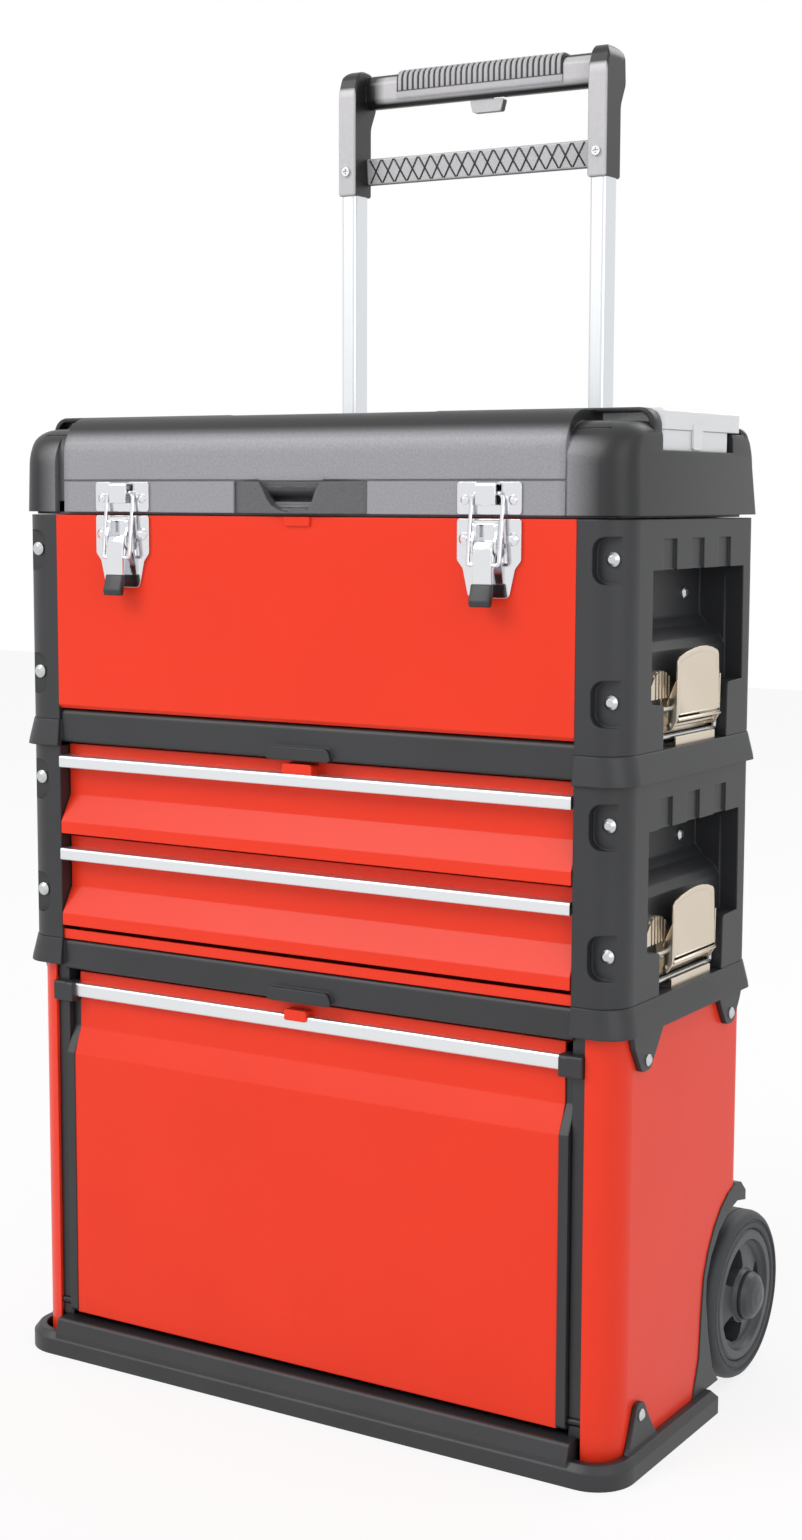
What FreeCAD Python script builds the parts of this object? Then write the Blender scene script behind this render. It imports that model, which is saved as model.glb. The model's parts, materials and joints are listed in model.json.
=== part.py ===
import FreeCAD, Part
import math
import os

# Modular tool trolley: a wheeled lower box with a tilting bin, a two-drawer box and a lidded
# tool box stacked on it, and a telescopic pull handle behind them.
# Millimetres, X to the object's right as seen from the front, Y to the back, Z up,
# origin on the floor under the middle of the base.

Vector = FreeCAD.Vector

# Heights of the stack
base_rim_top = 17.0
base_sill_top = 29.0
lower_flange_top = 331.0
upper_flange_top = 500.0
flange_height = 20.0
lid_bottom = 657.0
lid_top = 727.0
box_top = 654.7

# Widths: the end mouldings set the width, and the rest follows them
cap_half = 255.0
cap_width = 35.5
shell_inset = 3.0
flange_overhang = 6.0
base_overhang = 10.0
lid_overhang = 2.0
core_half = cap_half - cap_width
shell_half = cap_half - shell_inset
flange_half = shell_half + flange_overhang
base_half = shell_half + base_overhang
lid_half = cap_half + lid_overhang

# Depths
cap_front = -110.0
shell_front = -107.0
band_front = -107.7
base_front = -120.0
back = 104.0
sheet = 2.0

# Corner radii
front_corner = 22.0
rear_corner = 12.0
shell_corner = 26.0

# Wheels
wheel_radius = 64.0
wheel_y = 129.0
wheel_inset = 2.0
wheel_width = 32.0
well_depth = 39.0
axle_radius = 6.0
axle_gap = 0.05
wheel_outer_x = shell_half - wheel_inset
well_inner_x = shell_half - well_depth
well_front_y = 54.0

# Bin in the lower box
column_width = 23.0
jamb_width = 11.0
cheek_width = 7.2
jamb_half = shell_half - column_width
cheek_half = jamb_half - jamb_width
bin_half = cheek_half - cheek_width
bin_bottom = 34.4
bin_bar_bottom = 284.5
bin_bar_top = 296.5
bin_lip_top = 304.5
bin_hinge_y = -103.0
bin_hinge_z = 40.0
pin_radius = 3.0

# Drawers
drawer_gap = 0.9
drawer_half = core_half - drawer_gap
drawer_pitch = 71.1
drawer_bar_bottom = 462.6
drawer_bar_height = 10.3
drawer_bar_front = -112.2
drawer_sheet_y = -99.0
case_front = -90.0

# Pull handle
tube_x = 111.6
tube_width = 13.8
tube_front = 126.5
tube_back = 146.5
tube_wall = 1.5
tube_corner = 3.2
tube_bottom = 280.0
yoke_bottom = 908.0
yoke_top = 1006.5
arm_half = 8.0
guide_gap = 0.3

# Latches
front_latch_x = 155.0
panel_front = -110.1


def box(x0, x1, y0, y1, z0, z1):
    size = (x1 - x0, y1 - y0, z1 - z0)
    return Part.makeBox(size[0], size[1], size[2], Vector(x0, y0, z0))


def cylinder(start, direction, radius, length):
    return Part.makeCylinder(radius, length, Vector(*start), Vector(*direction))


def place(axis, a, b, level):
    # A point of a drawing: plane X holds (y, z), plane Y holds (x, z), plane Z holds (x, y)
    if axis == "X":
        return Vector(level, a, b)
    if axis == "Y":
        return Vector(a, level, b)
    return Vector(a, b, level)


def outline(points, axis="Z", level=0.0):
    # Closed wire; a point with a third number has its corner rounded to that radius
    edges = []
    starts = []
    ends = []
    count = len(points)
    for index in range(count):
        here = place(axis, points[index][0], points[index][1], level)
        radius = points[index][2] if len(points[index]) > 2 else 0.0
        if radius <= 0.0:
            starts.append(here)
            ends.append(here)
            edges.append(None)
            continue
        before = place(axis, points[index - 1][0], points[index - 1][1], level)
        after = place(axis, points[(index + 1) % count][0], points[(index + 1) % count][1], level)
        to_before = (before - here).normalize()
        to_after = (after - here).normalize()
        half = to_before.getAngle(to_after) / 2.0
        reach = radius / math.tan(half)
        bisector = (to_before + to_after).normalize()
        centre = here + bisector * (radius / math.sin(half))
        first = here + to_before * reach
        last = here + to_after * reach
        middle = centre - bisector * radius
        starts.append(first)
        ends.append(last)
        edges.append(Part.Arc(first, middle, last).toShape())
    parts = []
    for index in range(count):
        if edges[index] is not None:
            parts.append(edges[index])
        following = (index + 1) % count
        if (ends[index] - starts[following]).Length > 1e-6:
            parts.append(Part.makeLine(ends[index], starts[following]))
    return Part.Wire(parts)


def prism(points, axis, start, end):
    # A drawing pulled along its own normal from one level to another
    face = Part.Face(outline(points, axis, start))
    return face.extrude(place(axis, 0.0, 0.0, end - start))


def loft(sections):
    # Each section is (points, axis, level)
    wires = [outline(points, axis, level) for points, axis, level in sections]
    return Part.makeLoft(wires, True, True)


def revolve(points, centre, direction):
    # Points are (radius, distance along the axis); the axis runs along X
    corners = [Vector(centre[0] + direction * along, centre[1], centre[2] + radius)
               for radius, along in points]
    face = Part.Face(Part.makePolygon(corners + [corners[0]]))
    return face.revolve(Vector(*centre), Vector(1, 0, 0), 360)


def fold(path, thickness):
    # Outline of a folded sheet: the path, and the same path set over to its left
    count = len(path)
    inner = []
    for index in range(count):
        normals = []
        for first, last in ((index - 1, index), (index, index + 1)):
            if first < 0 or last >= count:
                continue
            dx = path[last][0] - path[first][0]
            dy = path[last][1] - path[first][1]
            length = math.hypot(dx, dy)
            normals.append((-dy / length, dx / length))
        if len(normals) == 1:
            shift = (normals[0][0] * thickness, normals[0][1] * thickness)
        else:
            sum_x = normals[0][0] + normals[1][0]
            sum_y = normals[0][1] + normals[1][1]
            scale = thickness * 2.0 / (sum_x * sum_x + sum_y * sum_y)
            shift = (sum_x * scale, sum_y * scale)
        inner.append((path[index][0] + shift[0], path[index][1] + shift[1]))
    return list(path) + inner[::-1]


def rounded_plan(half, front, rear, front_radius, rear_radius):
    return [(half, front, front_radius), (half, rear, rear_radius),
            (-half, rear, rear_radius), (-half, front, front_radius)]


def mirror_x(shape):
    return shape.mirror(Vector(0, 0, 0), Vector(1, 0, 0))


def both_sides(shape):
    return [shape, mirror_x(shape)]


def join(shapes):
    result = shapes[0]
    if len(shapes) > 1:
        result = shapes[0].fuse(shapes[1:])
    return result.removeSplitter()


def bevel(shape, size, wanted):
    # Chamfer the edges whose middle passes the test
    chosen = [edge for edge in shape.Edges if wanted(edge.CenterOfMass)]
    return shape.makeChamfer(size, chosen)


def soften(shape, radius, wanted):
    chosen = [edge for edge in shape.Edges if wanted(edge.CenterOfMass)]
    return shape.makeFillet(radius, chosen)


def rivet(point, direction, radius, height):
    # A low domed head on a short shank, standing on the surface at the point
    base = Part.makeCylinder(radius, height * 0.4, Vector(*point), Vector(*direction))
    top = Vector(*point) + Vector(*direction) * (height * 0.4)
    dome = Part.makeCone(radius, radius * 0.5, height * 0.6, top, Vector(*direction))
    return base.fuse(dome).removeSplitter()


def wire(points, radius, closed=False):
    # A bent wire of six-sided section along a chain of points, with mitred bends
    corners = [Vector(*point) for point in points]
    path = Part.makePolygon(corners + [corners[0]] if closed else corners)
    way = (corners[1] - corners[0]).normalize()
    side = way.cross(Vector(0.31, 0.93, 0.17)).normalize()
    other = way.cross(side)
    start = (corners[0] + corners[1]) * 0.5 if closed else corners[0]
    if closed:
        path = Part.makePolygon([start] + corners[1:] + [corners[0], start])
    ring = [start + side * (radius * math.cos(math.radians(60.0 * step)))
            + other * (radius * math.sin(math.radians(60.0 * step))) for step in range(6)]
    section = Part.makePolygon(ring + [ring[0]])
    return path.makePipeShell([section], True, False, 1)


def save(name, shape):
    if isinstance(shape, list):
        shape = Part.Compound(shape)
    shape.exportStep("parts/" + name + ".step")
    solids = len(shape.Solids)
    low = shape.BoundBox
    print("%-22s solids %2d valid %s  x %.1f %.1f  y %.1f %.1f  z %.1f %.1f" % (
        name, solids, shape.isValid(), low.XMin, low.XMax, low.YMin, low.YMax, low.ZMin, low.ZMax))


# Base tray: a moulded tray with a raised front sill, clawed sides and cut-outs for the wheels
base_floor = 5.0
base_rim = base_half - shell_half - 0.3
claw_thickness = 4.0


def base_plan(inset):
    half = base_half - inset
    front = base_front + inset
    step_x = well_inner_x - 0.4 - inset
    rear = back + 0.3 + base_rim - inset
    return [(half, front, max(30.0 - inset, 2.0)), (half, well_front_y - inset, 3.0),
            (step_x, well_front_y - inset), (step_x, rear, 4.0),
            (-step_x, rear, 4.0), (-step_x, well_front_y - inset),
            (-half, well_front_y - inset, 3.0), (-half, front, max(30.0 - inset, 2.0))]


def make_base_tray():
    foot = prism(base_plan(0.0), "Z", 0.0, base_rim_top - 5.0)
    shoulder = loft([(base_plan(0.0), "Z", base_rim_top - 5.0), (base_plan(4.0), "Z", base_rim_top)])
    hollow = prism(base_plan(base_rim), "Z", base_floor, base_rim_top + 1.0)
    sill_path = [(base_front + 1.0, base_floor), (base_front + 1.0, base_rim_top),
                 (-115.5, base_sill_top, 3.0), (-99.0, base_sill_top), (-99.0, base_floor)]
    sill = prism(sill_path, "X", -shell_half + 27.0, shell_half - 27.0)
    ribs = [box(-190.0, 190.0, y - 1.5, y + 1.5, base_floor - 1.0, base_floor + 6.0)
            for y in (-50.0, 0.0, 50.0)]
    claw_path = [(-90.0, 4.0), (-90.0, 12.0), (-85.0, 21.0), (-73.5, 48.4, 4.5), (-63.0, 48.4, 5.0),
                 (-53.0, 32.0, 8.0), (-40.0, 16.0), (-40.0, 4.0)]
    claw = prism(claw_path, "X", shell_half + 0.3, shell_half + claw_thickness)
    tray = join([foot, shoulder]).cut(hollow)
    return join([tray, sill] + ribs + both_sides(claw))


# Arch of the wheel well in the side view: where the sheet ends, and where the well opens
def arch_outer():
    return [(26.0, base_rim_top), (36.0, 45.0), (39.0, 80.0), (42.0, 104.0), (49.5, 122.0),
            (59.5, 137.0), (71.0, 148.5), (84.0, 156.5), (98.0, 161.0), (back + 3.0, 159.5),
            (back + 12.0, 151.0)]


def arch_inner():
    return [(back + 12.0, 143.5), (101.0, 146.5), (86.0, 143.0), (68.0, 132.5), (54.0, 117.0),
            (47.0, 101.0), (46.5, 86.0), (51.0, 59.0), (60.0, 30.0), (71.0, base_rim_top)]


# Sheet-metal wrap of the lower box: rounded front columns, sides and back in one piece
shell_top = lower_flange_top - 4.0


def make_lower_shell():
    outer = prism(rounded_plan(shell_half, shell_front, back, shell_corner, rear_corner),
                  "Z", base_floor, shell_top)
    inner = prism(rounded_plan(shell_half - sheet, shell_front + sheet, back - sheet,
                               shell_corner - sheet, rear_corner - sheet),
                  "Z", base_floor, shell_top)
    wrap = outer.cut(inner)
    front_gap = box(-jamb_half, jamb_half, shell_front - 5.0, -70.0, base_floor - 1.0, shell_top + 1.0)
    well_path = arch_outer() + [(back + 12.0, 0.0), (26.0, 0.0)]
    well = prism(well_path, "X", well_inner_x - 0.3, base_half)
    block_space = box(well_inner_x - 7.3, well_inner_x + 1.0, back - 9.0, back + 1.0, 29.7, 104.3)
    foot_relief = box(well_inner_x - base_rim - 4.0, base_half, well_front_y - 14.0, back + 1.0,
                      0.0, base_rim_top + 0.2)
    returns = both_sides(box(jamb_half, jamb_half + sheet, shell_front + 0.6, -78.0,
                             base_floor + 27.0, 299.0))
    spaces = both_sides(well) + both_sides(block_space) + both_sides(foot_relief)
    return join([wrap.cut(front_gap)] + returns).cut(join(spaces))


# Moulded arch over each wheel, with the inner wall of the well and the block that holds the axle
def make_wheel_arch():
    lip = prism(arch_outer() + arch_inner(), "X", well_inner_x, shell_half + 1.0)
    wall_path = arch_outer()[:-2] + [(back, 159.9), (back, base_floor + 13.0)]
    wall = prism(wall_path, "X", well_inner_x, well_inner_x + 3.0)
    low = wheel_radius - 34.0
    high = wheel_radius + 38.0
    block_path = [(back - 8.0, low), (back - 8.0, high), (118.0, high, 4.0),
                  (wheel_y + 17.0, high - 20.0, 6.0), (wheel_y + 17.0, low + 18.0, 6.0), (118.0, low, 4.0)]
    outer_block = prism(block_path, "X", well_inner_x - 7.0, well_inner_x + 3.0)
    axle_hole = cylinder((well_inner_x - 63.0, wheel_y, wheel_radius), (1, 0, 0), axle_radius, 100.0)
    behind = prism([(back, low + 4.0), (back, high - 4.0), (117.0, high - 4.0, 4.0),
                    (wheel_y + 14.0, high - 22.0, 6.0), (wheel_y + 14.0, low + 20.0, 6.0),
                    (117.0, low + 4.0, 4.0)], "X", well_inner_x - 61.0, well_inner_x - 6.0)
    core = prism([(wheel_y - 14.0, low + 16.0), (wheel_y - 14.0, low + 24.0), (wheel_y + 9.0, low + 24.0),
                  (wheel_y + 9.0, low + 16.0)], "X", well_inner_x - 53.0, well_inner_x - 13.0)
    return join([lip, wall, outer_block, behind]).cut(join([axle_hole, core]))


# Stub axle on each side, with a collar and the domed hub cap that keeps the wheel on
def make_axle():
    start = well_inner_x - 55.0
    collar_x = well_inner_x + 3.05
    cap_x = wheel_outer_x + 0.4
    rod = [(0.0, start), (axle_radius, start), (axle_radius, cap_x + 2.0), (0.0, cap_x + 2.0)]
    collar = [(0.0, collar_x), (10.0, collar_x), (10.0, collar_x + 1.6), (0.0, collar_x + 1.6)]
    cap = [(0.0, cap_x), (18.5, cap_x), (18.5, cap_x + 2.4), (16.5, cap_x + 6.0), (12.0, cap_x + 9.0),
           (5.0, cap_x + 10.6), (0.0, cap_x + 10.6)]
    centre = (0.0, wheel_y, wheel_radius)
    return join([revolve(profile, centre, 1.0) for profile in (rod, collar, cap)])


# Wheel: a moulded rim with a stepped face and three curved windows, and a tyre round it
tyre_inner = 50.0
window_low = 21.5
window_high = 37.0
window_angle = 62.0


def window_path():
    # A curved window of the rim, seen from the side, about the wheel's centre
    points = []
    for radius, corner, sign in ((window_high, 5.0, 1.0), (window_low, 4.0, -1.0)):
        for step in (-0.5, -0.17, 0.17, 0.5):
            angle = math.radians(window_angle * step * sign)
            point = (wheel_y + radius * math.cos(angle), wheel_radius + radius * math.sin(angle))
            points.append(point + (corner,) if abs(step) > 0.4 else point)
    return points


def make_wheel_rim():
    x0 = wheel_outer_x - wheel_width
    x1 = wheel_outer_x
    face = [(axle_radius + axle_gap, x0), (15.0, x0), (15.0, x0 + 8.0), (tyre_inner - 6.0, x0 + 10.0),
            (tyre_inner - 6.0, x0 + 3.0), (tyre_inner, x0 + 3.0), (tyre_inner, x1 - 2.5),
            (tyre_inner - 2.0, x1 - 1.0), (tyre_inner - 7.5, x1 - 1.0), (tyre_inner - 9.0, x1 - 4.0),
            (38.5, x1 - 6.5), (20.5, x1 - 3.0), (19.0, x1), (axle_radius + axle_gap, x1)]
    body = revolve(face, (0.0, wheel_y, wheel_radius), 1.0)
    windows = []
    for step in range(3):
        slot = prism(window_path(), "X", x0 - 1.0, x1 + 1.0)
        slot.rotate(Vector(0, wheel_y, wheel_radius), Vector(1, 0, 0), 120.0 * step)
        windows.append(slot)
    return body.cut(join(windows))


def make_wheel_tyre():
    x0 = wheel_outer_x - wheel_width
    x1 = wheel_outer_x
    tread = [(tyre_inner, x0 + 3.0), (tyre_inner + 5.0, x0), (wheel_radius - 5.0, x0),
             (wheel_radius, x0 + 4.0), (wheel_radius, x1 - 6.0), (wheel_radius - 1.8, x1 - 2.2),
             (wheel_radius - 5.5, x1), (wheel_radius - 6.5, x1 - 1.6), (tyre_inner + 1.5, x1 - 1.6),
             (tyre_inner, x1 - 3.0)]
    return revolve(tread, (0.0, wheel_y, wheel_radius), 1.0)


# Moulded band on top of a box: flared flange, front rail, closed deck
def band_plan(half, front, rear):
    return rounded_plan(half, front, rear, front_corner, rear_corner)


def make_band(flange_top, rail_bottom, rail_top):
    low = flange_top - flange_height
    flare = loft([(band_plan(flange_half + 1.5, cap_front - 3.0, back + 3.0), "Z", low),
                  (band_plan(flange_half + 1.0, cap_front - 2.5, back + 2.5), "Z", low + 4.0),
                  (band_plan(cap_half + 0.5, cap_front - 0.5, back + 0.5), "Z", flange_top)])
    hollow = prism(rounded_plan(shell_half + 0.3, shell_front - 0.3, back + 0.3,
                                shell_corner, rear_corner), "Z", low - 1.0, flange_top - 4.0)
    front_gap = box(-core_half, core_half, -130.0, -89.0, low - 1.0, flange_top + 1.0)
    rail = prism([(band_front, rail_bottom, 3.0), (band_front, rail_top, 4.0), (-88.0, rail_top, 2.0),
                  (-88.0, rail_bottom)], "X", -core_half - 0.5, core_half + 0.5)
    rail_core = prism([(-104.0, rail_bottom - 1.0), (-104.0, rail_top - 6.0), (-92.0, rail_top - 6.0),
                       (-92.0, rail_bottom - 1.0)], "X", -core_half + 4.0, core_half - 4.0)
    corners = both_sides(box(core_half - 0.3, core_half + 2.0, -112.0, -80.0, flange_top, rail_top + 1.0))
    bump = prism([(-29.0, rail_bottom, 3.0), (29.0, rail_bottom, 3.0),
                  (25.0, rail_bottom + 9.5, 4.0), (-25.0, rail_bottom + 9.5, 4.0)],
                 "Y", band_front - 4.0, band_front + 2.0)
    ribs = [box(-core_half, core_half, y - 1.5, y + 1.5, flange_top - 12.0, flange_top - 3.0)
            for y in (-40.0, 10.0, 60.0)]
    shell = flare.cut(hollow).cut(front_gap)
    return join([shell, rail.cut(rail_core), bump] + ribs).cut(join(corners))


def make_lower_frame():
    band = make_band(lower_flange_top, lower_flange_top - 24.0, lower_flange_top - 0.6)
    low = lower_flange_top - flange_height
    front_claw = [(-90.0, low + 4.0), (-86.0, low - 10.0), (-75.0, low - 27.6, 5.0),
                  (-62.0, low - 27.6, 6.0), (-50.0, low - 12.0, 10.0), (-38.0, low + 4.0)]
    rear_claw = [(50.0, low + 4.0), (57.0, low - 9.0), (66.0, low - 22.6, 5.0), (78.0, low - 22.6, 6.0),
                 (88.0, low - 8.0, 8.0), (94.0, low + 4.0)]
    claws = []
    for path in (front_claw, rear_claw):
        claws += both_sides(prism(path, "X", shell_half + 0.3, shell_half + 4.3))
    jamb = box(cheek_half + 0.6, jamb_half - 0.1, -104.0, -92.0, base_sill_top, lower_flange_top - 3.0)
    return join([band] + claws + both_sides(jamb)).cut(bin_pin_space())


# Bin: folded red front, aluminium bar across its top, black end cheeks and the tray behind
def bin_pin_space():
    hole = cylinder((bin_half - 15.8, bin_hinge_y, bin_hinge_z), (1, 0, 0), pin_radius, 33.9)
    return join(both_sides(hole))


def make_bin_pins():
    start = (bin_half + 0.2, bin_hinge_y, bin_hinge_z)
    pin = cylinder(start, (1, 0, 0), pin_radius, column_width - jamb_width + cheek_width - 1.3)
    return both_sides(pin)


def make_bin_front():
    path = [(-84.0, bin_lip_top), (-99.8, bin_lip_top), (-99.8, 261.0), (-107.8, 241.0),
            (-107.8, bin_bottom), (-96.0, bin_bottom)]
    low = bin_bar_top - 4.0
    high = bin_lip_top - 4.0
    tab = prism([(-14.6, low, 1.5), (-14.6, high, 1.5), (4.6, high, 1.5), (4.6, low, 1.5)], "Y", -107.8, -99.0)
    return join([prism(fold(path, sheet), "X", -bin_half, bin_half), tab.cut(bin_bar_solid())])


def bin_bar_solid():
    low = bin_bar_bottom
    high = bin_bar_top
    path = [(-106.8, low + 1.0, 2.0), (-106.8, high, 2.0), (-99.8, high), (-99.8, low),
            (-101.5, low), (-103.0, low + 2.5), (-104.5, low + 1.0)]
    return prism(path, "X", -bin_half, bin_half)


def make_bin_bar():
    return bin_bar_solid()


def make_bin_cheeks():
    path = [(-108.4, bin_bottom, 3.0), (-108.4, 241.5), (-98.5, 261.5), (-98.5, bin_bar_top, 2.0),
            (-86.0, bin_bar_top), (-86.0, bin_bottom + 6.0, 3.0), (-92.0, bin_bottom)]
    cheek = prism(path, "X", bin_half, cheek_half)
    cap = prism([(-110.5, bin_bar_bottom - 2.5, 2.0), (-110.5, bin_bar_top + 1.0, 3.0),
                 (-98.0, bin_bar_top + 1.0), (-98.0, bin_bar_bottom - 2.5)], "X", bin_half, cheek_half)
    ear = prism([(-110.5, bin_bar_bottom - 2.5, 2.0), (-110.5, bin_bar_top + 1.0, 2.0),
                 (-105.0, bin_bar_top + 1.0), (-105.0, bin_bar_bottom - 2.5)],
                "X", cheek_half - 1.0, jamb_half - 0.6)
    hole = cylinder((bin_half - 10.0, bin_hinge_y, bin_hinge_z), (1, 0, 0), pin_radius + 0.05, 30.0)
    return both_sides(join([cheek, cap, ear]).cut(hole))


def make_bin_tray():
    rear = 40.0
    front = -97.7
    floor_z = bin_bottom + 2.1
    outer = [(front, floor_z), (front, 282.0), (-30.0, 276.0, 14.0), (rear, 246.0, 8.0),
             (rear, 60.0, 26.0), (8.0, floor_z, 20.0)]
    inner = [(front + sheet, floor_z + sheet), (front + sheet, 300.0), (rear - sheet, 300.0),
             (rear - sheet, 60.5, 24.0), (7.5, floor_z + sheet, 18.0)]
    half = bin_half - 4.0
    shell = prism(outer, "X", -half, half).cut(prism(inner, "X", -half + sheet, half - sheet))
    rib = prism([(front + 1.0, 150.0), (front + 1.0, 160.0), (rear - 10.0, 160.0), (rear - 10.0, 150.0)],
                "X", half - 0.5, half + 1.5)
    return join([shell] + both_sides(rib))


# Two-drawer box: steel case with runners, drawers with a folded front under an aluminium bar
case_bottom = lower_flange_top
case_top = upper_flange_top - flange_height
drawer_shifts = (0.0, drawer_pitch)


def make_mid_case():
    low = case_bottom
    outer = box(-core_half, core_half, case_front, back, low, case_top)
    inner = box(-core_half + sheet, core_half - sheet, case_front - 1.0, back - sheet,
                low + sheet, case_top + 1.0)
    lip_path = [(case_front + 2.0, low), (-108.0, low), (-108.0, low + 7.4), (-106.0, low + 7.4),
                (-106.0, low + sheet), (case_front + 2.0, low + sheet)]
    lip = prism(lip_path, "X", -core_half, core_half)
    rail_z = drawer_bar_bottom - drawer_pitch + drawer_bar_height + 1.0
    rail_path = [(case_front, rail_z), (case_front, rail_z + 8.0), (case_front + 10.0, rail_z + 8.0),
                 (case_front + 10.0, rail_z + 6.4), (case_front + 1.6, rail_z + 6.4),
                 (case_front + 1.6, rail_z)]
    rail = prism(rail_path, "X", -core_half, core_half)
    flange_path = [(case_front, case_top - 1.6), (case_front, case_top), (case_front + 14.0, case_top),
                   (case_front + 14.0, case_top - 1.6)]
    flange = prism(flange_path, "X", -core_half, core_half)
    return join([outer.cut(inner), lip, rail, flange])


def make_drawer_runners():
    runners = []
    for shift in drawer_shifts:
        z = drawer_bar_bottom - 30.0 - shift
        x1 = core_half - sheet
        channel = [(x1, z - 9.0), (x1, z + 9.0), (x1 - 9.0, z + 9.0), (x1 - 9.0, z + 7.4),
                   (x1 - 1.6, z + 7.4), (x1 - 1.6, z - 7.4), (x1 - 9.0, z - 7.4), (x1 - 9.0, z - 9.0)]
        runners += both_sides(prism(channel, "Y", case_front + 2.0, back - sheet - 4.0))
    return runners


def make_drawer_bar(shift):
    low = drawer_bar_bottom - shift
    high = low + drawer_bar_height
    front = drawer_bar_front
    path = [(front, low + 1.0, 1.5), (front, high, 2.0), (drawer_sheet_y, high), (drawer_sheet_y, low),
            (front + 8.0, low), (front + 5.0, low + 3.0), (front + 3.0, low + 1.0)]
    return prism(path, "X", -drawer_half, drawer_half)


def make_drawer_front(shift):
    bar_top = drawer_bar_bottom - shift + drawer_bar_height
    top = bar_top + 8.0
    front = drawer_sheet_y
    path = [(case_front - 1.5, top), (front, top), (front, 442.0 - shift), (-110.5, 422.0 - shift),
            (-110.5, 413.0 - shift), (-98.0, 413.0 - shift)]
    pieces = [prism(fold(path, 1.6), "X", -drawer_half, drawer_half)]
    if shift == 0.0:
        tab = [(-14.0, bar_top), (-14.0, top - 1.0, 2.0), (11.0, top - 1.0, 2.0), (11.0, bar_top)]
        pieces.append(prism(tab, "Y", drawer_bar_front + 2.0, front + 0.5))
    return join(pieces)


def make_drawer_tray(shift):
    half = core_half - sheet - 9.6
    low = 413.0 - shift + 2.0
    high = drawer_bar_bottom - shift - 3.0
    front = -97.3
    rear = 84.0
    outer = box(-half, half, front, rear, low, high)
    inner = box(-half + 1.6, half - 1.6, front + 1.6, rear - 1.6, low + 1.6, high + 1.0)
    z = drawer_bar_bottom - 30.0 - shift
    slide = box(half - 0.5, half + 7.4, case_front + 6.0, rear - 4.0, z - 6.8, z + 6.8)
    groove = box(half + 2.0, half + 8.0, case_front + 5.0, rear - 3.0, z - 4.6, z + 4.6)
    return join([outer.cut(inner)] + both_sides(slide.cut(groove)))


# Black end moulding of a box: rounded corners, rivet pockets, side recess with the latch in it
def side_recess(low, high):
    rise = high - 33.7
    return [(-68.0, rise, 8.0), (82.0, rise, 8.0), (83.0, low + 40.0), (58.0, low + 39.0, 3.0),
            (57.0, low - 1.0), (-48.0, low - 1.0), (-48.0, low + 30.0, 3.0), (-68.0, low + 32.0, 4.0)]


def rivet_heights(low, high):
    return (high - 25.8, low + 35.5)


recess_depth = 14.0
recess_floor = cap_half - recess_depth
deep_floor = core_half + 1.5
pocket_depth = 7.5


def make_cap(low, high):
    plan = [(core_half, cap_front), (cap_half, cap_front, front_corner),
            (cap_half, back, rear_corner), (core_half, back)]
    body = prism(plan, "Z", low, high)
    rise = high - 33.7
    front_hollow = box(core_half - 1.0, recess_floor - 4.0, cap_front + 14.0, -71.0, low + 4.0, high - 4.0)
    low_hollow = box(core_half - 1.0, recess_floor - 3.0, -44.0, 54.0, low + 4.0, low + 60.0)
    recess = prism(side_recess(low, high), "X", recess_floor, cap_half + 1.0)
    curve = [(cap_half + 1.0, rise), (deep_floor, rise), (deep_floor, low + 86.0, 5.0),
             (deep_floor + 6.0, low + 79.0, 4.0), (recess_floor - 4.0, low + 71.0, 4.0),
             (recess_floor, low + 65.0), (cap_half + 1.0, low + 65.0)]
    deep = prism(curve, "Y", -68.0, 82.0)
    cuts = [front_hollow, low_hollow, recess, deep]
    for front in (-52.0, -7.5, 37.5):
        cuts.append(box(cap_half - 2.0, cap_half + 1.0, front, front + 21.0, rise - 1.0, high - 13.0))
    cuts.append(box(cap_half - 1.0, cap_half + 1.0, 94.0, 96.5, high - 102.0, high - 36.0))
    for z in rivet_heights(low, high):
        pocket = [(cap_half - 24.0, z - 16.5, 9.0), (cap_half - 24.0, z + 14.5, 9.0),
                  (cap_half - 1.0, z + 14.5), (cap_half - 1.0, z - 16.5)]
        cuts.append(prism(pocket, "Y", cap_front - 1.0, cap_front + pocket_depth))
    return body.cut(join(cuts))


def make_cap_rivets(low, high):
    heads = [rivet((deep_floor, 55.0, high - 53.0), (1, 0, 0), 4.5, 2.6)]
    for z in rivet_heights(low, high):
        heads.append(rivet((cap_half - 12.0, cap_front + pocket_depth, z), (0, -1, 0), 5.0, 3.4))
        heads.append(rivet((cap_half - 23.0, back, z), (0, 1, 0), 4.5, 2.6))
    return heads + [mirror_x(head) for head in heads]


# Lidded tool box: open steel case with hinge knuckles along its back edge
hinge_y = back - 1.0
hinge_z = box_top + 4.3
hinge_radius = 4.0
hinge_pin_radius = 2.0
knuckle_spans = [(-180.0, -120.0, "box"), (-119.6, -60.4, "lid"), (-60.0, 60.0, "box"),
                 (60.4, 119.6, "lid"), (120.0, 180.0, "box")]


def make_knuckles(owner):
    pieces = []
    for x0, x1, side in knuckle_spans:
        if side != owner:
            continue
        pieces.append(cylinder((x0, hinge_y, hinge_z), (1, 0, 0), hinge_radius, x1 - x0))
        if owner == "box":
            pieces.append(box(x0, x1, back - sheet, back, box_top - 4.0, hinge_z - 2.0))
        else:
            pieces.append(box(x0, x1, hinge_y - 3.0, hinge_y + 2.0, hinge_z + 2.0, hinge_z + 9.0))
    hole = cylinder((knuckle_spans[0][0] - 5.0, hinge_y, hinge_z), (1, 0, 0), hinge_pin_radius + 0.05,
                    knuckle_spans[-1][1] - knuckle_spans[0][0] + 10.0)
    return [piece.cut(hole) for piece in pieces]


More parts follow.
